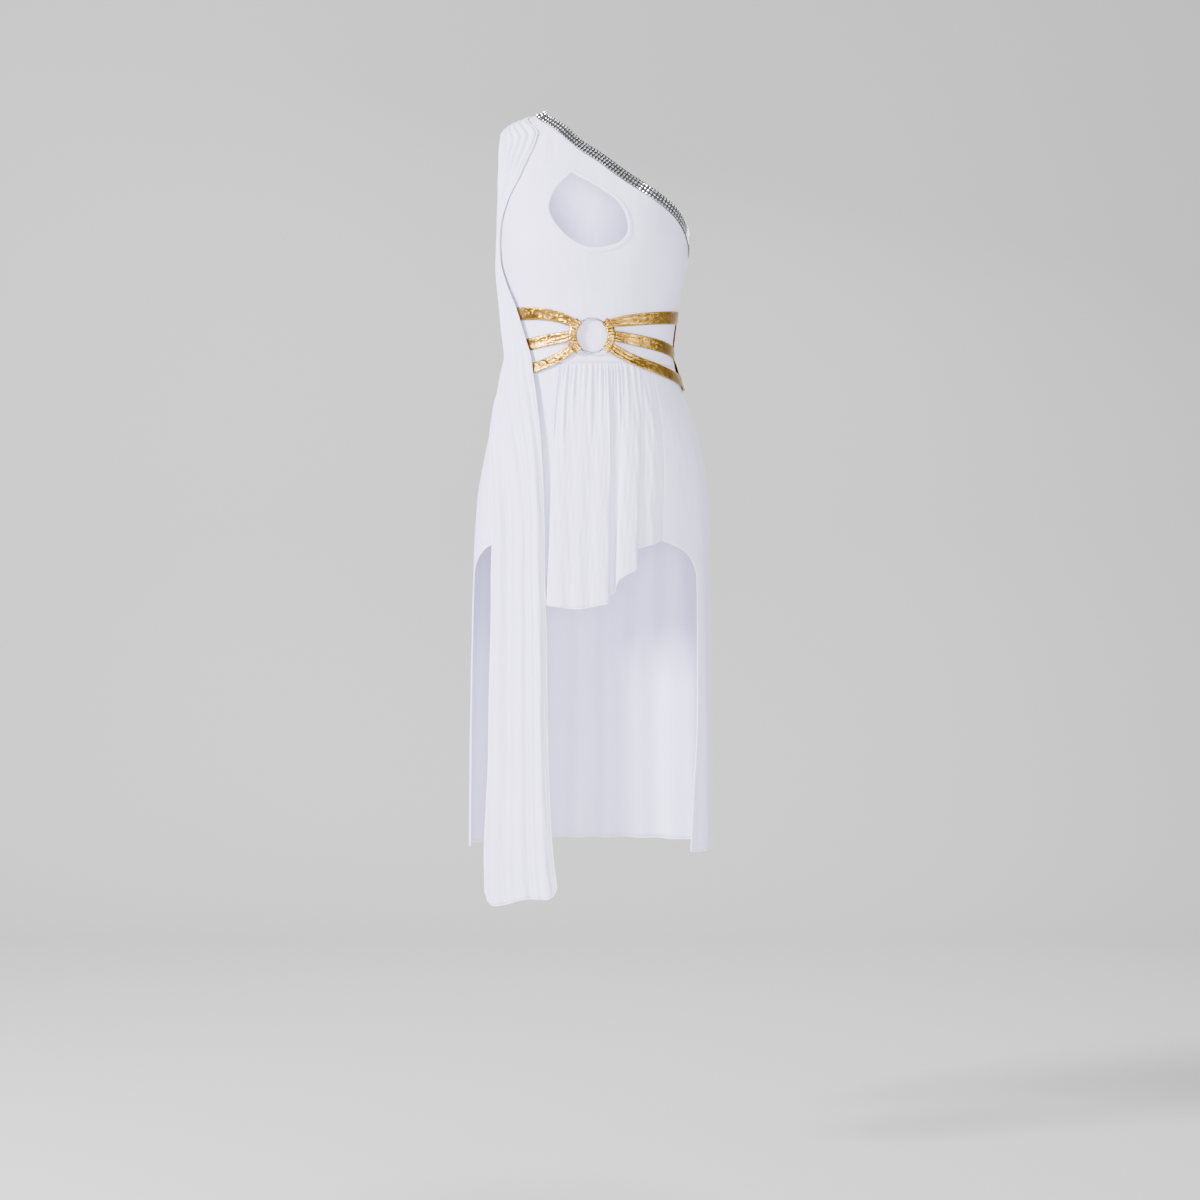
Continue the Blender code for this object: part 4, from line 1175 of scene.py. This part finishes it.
def add_tab(foil, name, node, facing):
    """A gathered sleeve on the ring. facing is 0 for the bare side and 180 for the shoulder side."""
    steps, sides = 72, 28
    radius = (RING_DIAMETER - RING_WIRE) / 2.0
    at = np.linspace(-1.0, 1.0, steps + 1)
    turns = np.radians(facing + TAB_REACH * at)
    section = np.linspace(0.0, 2.0 * np.pi, sides, endpoint=False)
    points = []
    for turn, place in zip(turns, at):
        gather = 1.0 + 0.10 * np.cos(place * 34.0) + 0.05 * np.sin(place * 57.0 + 1.0)
        tail = TAB_TAIL * np.clip(np.cos(section), 0.0, 1.0) ** 6
        outer = (TAB_BODY - 0.0002) * gather + tail * (1.0 + 0.06 * np.sin(place * 41.0))
        inner = np.full(sides, TAB_BORE / 2.0)
        for size in (outer, inner):
            reach = radius + size * np.cos(section)
            crimp = size * np.sin(section)
            points.append(RING_CENTRE + np.stack(
                (reach * np.cos(turn), -crimp, reach * np.sin(turn)), axis=-1))
    faces = []
    block = 2 * sides
    for step in range(steps):
        for k in range(sides):
            beside = (k + 1) % sides
            base, far = step * block, (step + 1) * block
            faces.append((base + k, far + k, far + beside, base + beside))
            faces.append((base + sides + k, base + sides + beside, far + sides + beside, far + sides + k))
    last = steps * block
    for k in range(sides):
        beside = (k + 1) % sides
        faces.append((sides + k, k, beside, sides + beside))
        faces.append((last + k, last + sides + k, last + sides + beside, last + beside))
    tab = add_piece(name, np.concatenate(points) - HELD_AT, faces, foil)
    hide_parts(node)


# Studio
def add_studio():
    """A pale floor that curves up into a plain backdrop."""
    bend = np.linspace(0.0, np.pi / 2.0, 25)
    curve = [(2.2 + np.sin(t), FLOOR_HEIGHT + 1.0 - np.cos(t)) for t in bend]
    profile = [(-6.0, FLOOR_HEIGHT), *curve, (3.2, 4.0)]
    vertices = [(x, y, z) for y, z in profile for x in (-7.0, 7.0)]
    faces = [(2 * k, 2 * k + 1, 2 * k + 3, 2 * k + 2) for k in range(len(profile) - 1)]
    mesh = bpy.data.meshes.new("studio_floor")
    mesh.from_pydata(vertices, [], faces)
    mesh.shade_smooth()
    mesh.materials.append(floor_material())
    floor = bpy.data.objects.new("studio_floor", mesh)
    bpy.context.collection.objects.link(floor)


def add_area_light(name, place, target, size, power, colour):
    light = bpy.data.lights.new(name, "AREA")
    light.shape = "DISK"
    light.size = size
    light.energy = power
    light.color = colour
    lamp = bpy.data.objects.new(name, light)
    lamp.location = place
    lamp.rotation_euler = (Vector(target) - Vector(place)).to_track_quat("-Z", "Y").to_euler()
    bpy.context.collection.objects.link(lamp)


def add_lights():
    world = bpy.data.worlds.new("studio_world")
    world.use_nodes = True
    sky = world.node_tree.nodes["Background"]
    sky.inputs["Color"].default_value = (0.985, 0.985, 1.0, 1.0)
    sky.inputs["Strength"].default_value = 0.42
    bpy.context.scene.world = world
    middle = (0.10, 0.0, -0.5)
    add_area_light("key_light", (-3.0, -1.7, 1.0), middle, 0.9, 540.0, (0.93, 0.91, 1.0))
    add_area_light("fill_light", (2.3, -2.4, 0.2), middle, 1.4, 70.0, (0.93, 0.91, 1.0))
    add_area_light("back_light", (0.6, 2.0, 1.6), middle, 1.6, 120.0, (0.96, 0.95, 1.0))
    add_area_light("low_light", (0.2, -3.0, -1.0), (0.1, 0.0, -0.75), 1.2, 120.0, (0.94, 0.92, 1.0))


def add_camera():
    lens = SENSOR * CAMERA_DISTANCE / (PHOTO_PIXELS * METRES_PER_PIXEL)
    data = bpy.data.cameras.new("photo_camera")
    data.sensor_width = SENSOR
    data.lens = lens
    camera = bpy.data.objects.new("photo_camera", data)
    camera.location = (-HELD_AT[0], -CAMERA_DISTANCE, EYE_HEIGHT - HELD_AT[2])
    camera.rotation_euler = (np.pi / 2.0, 0.0, 0.0)
    bpy.context.collection.objects.link(camera)
    bpy.context.scene.camera = camera


def main():
    add_camera()
    add_lights()
    add_studio()
    cloth = jersey_material()
    thread = thread_material()
    foil = foil_material()
    add_bodice_front(cloth, thread)
    add_bodice_back(cloth)
    add_neck_trim(metal_material("trim_net", (0.16, 0.16, 0.17), 0.35, 0.2),
                  metal_material("cut_crystal", (0.93, 0.93, 0.95), 0.04, 0.05),
                  metal_material("stone_setting", (0.26, 0.26, 0.27), 0.22, 0.15))
    add_skirt_front(cloth, thread)
    add_skirt_back(cloth, thread)
    add_drape(cloth, thread)
    add_ring(metal_material("silver_ring", (0.26, 0.26, 0.28), 0.12, 0.10))
    add_tab(foil, "tab_right", "belt_tab_right", 0.0)
    add_tab(foil, "tab_left", "belt_tab_left", 180.0)
    gold_thread = metal_material("gold_thread", (0.70, 0.50, 0.18), 0.45, 0.1)
    add_straps(foil, gold_thread)
    add_belt_back(foil)


main()
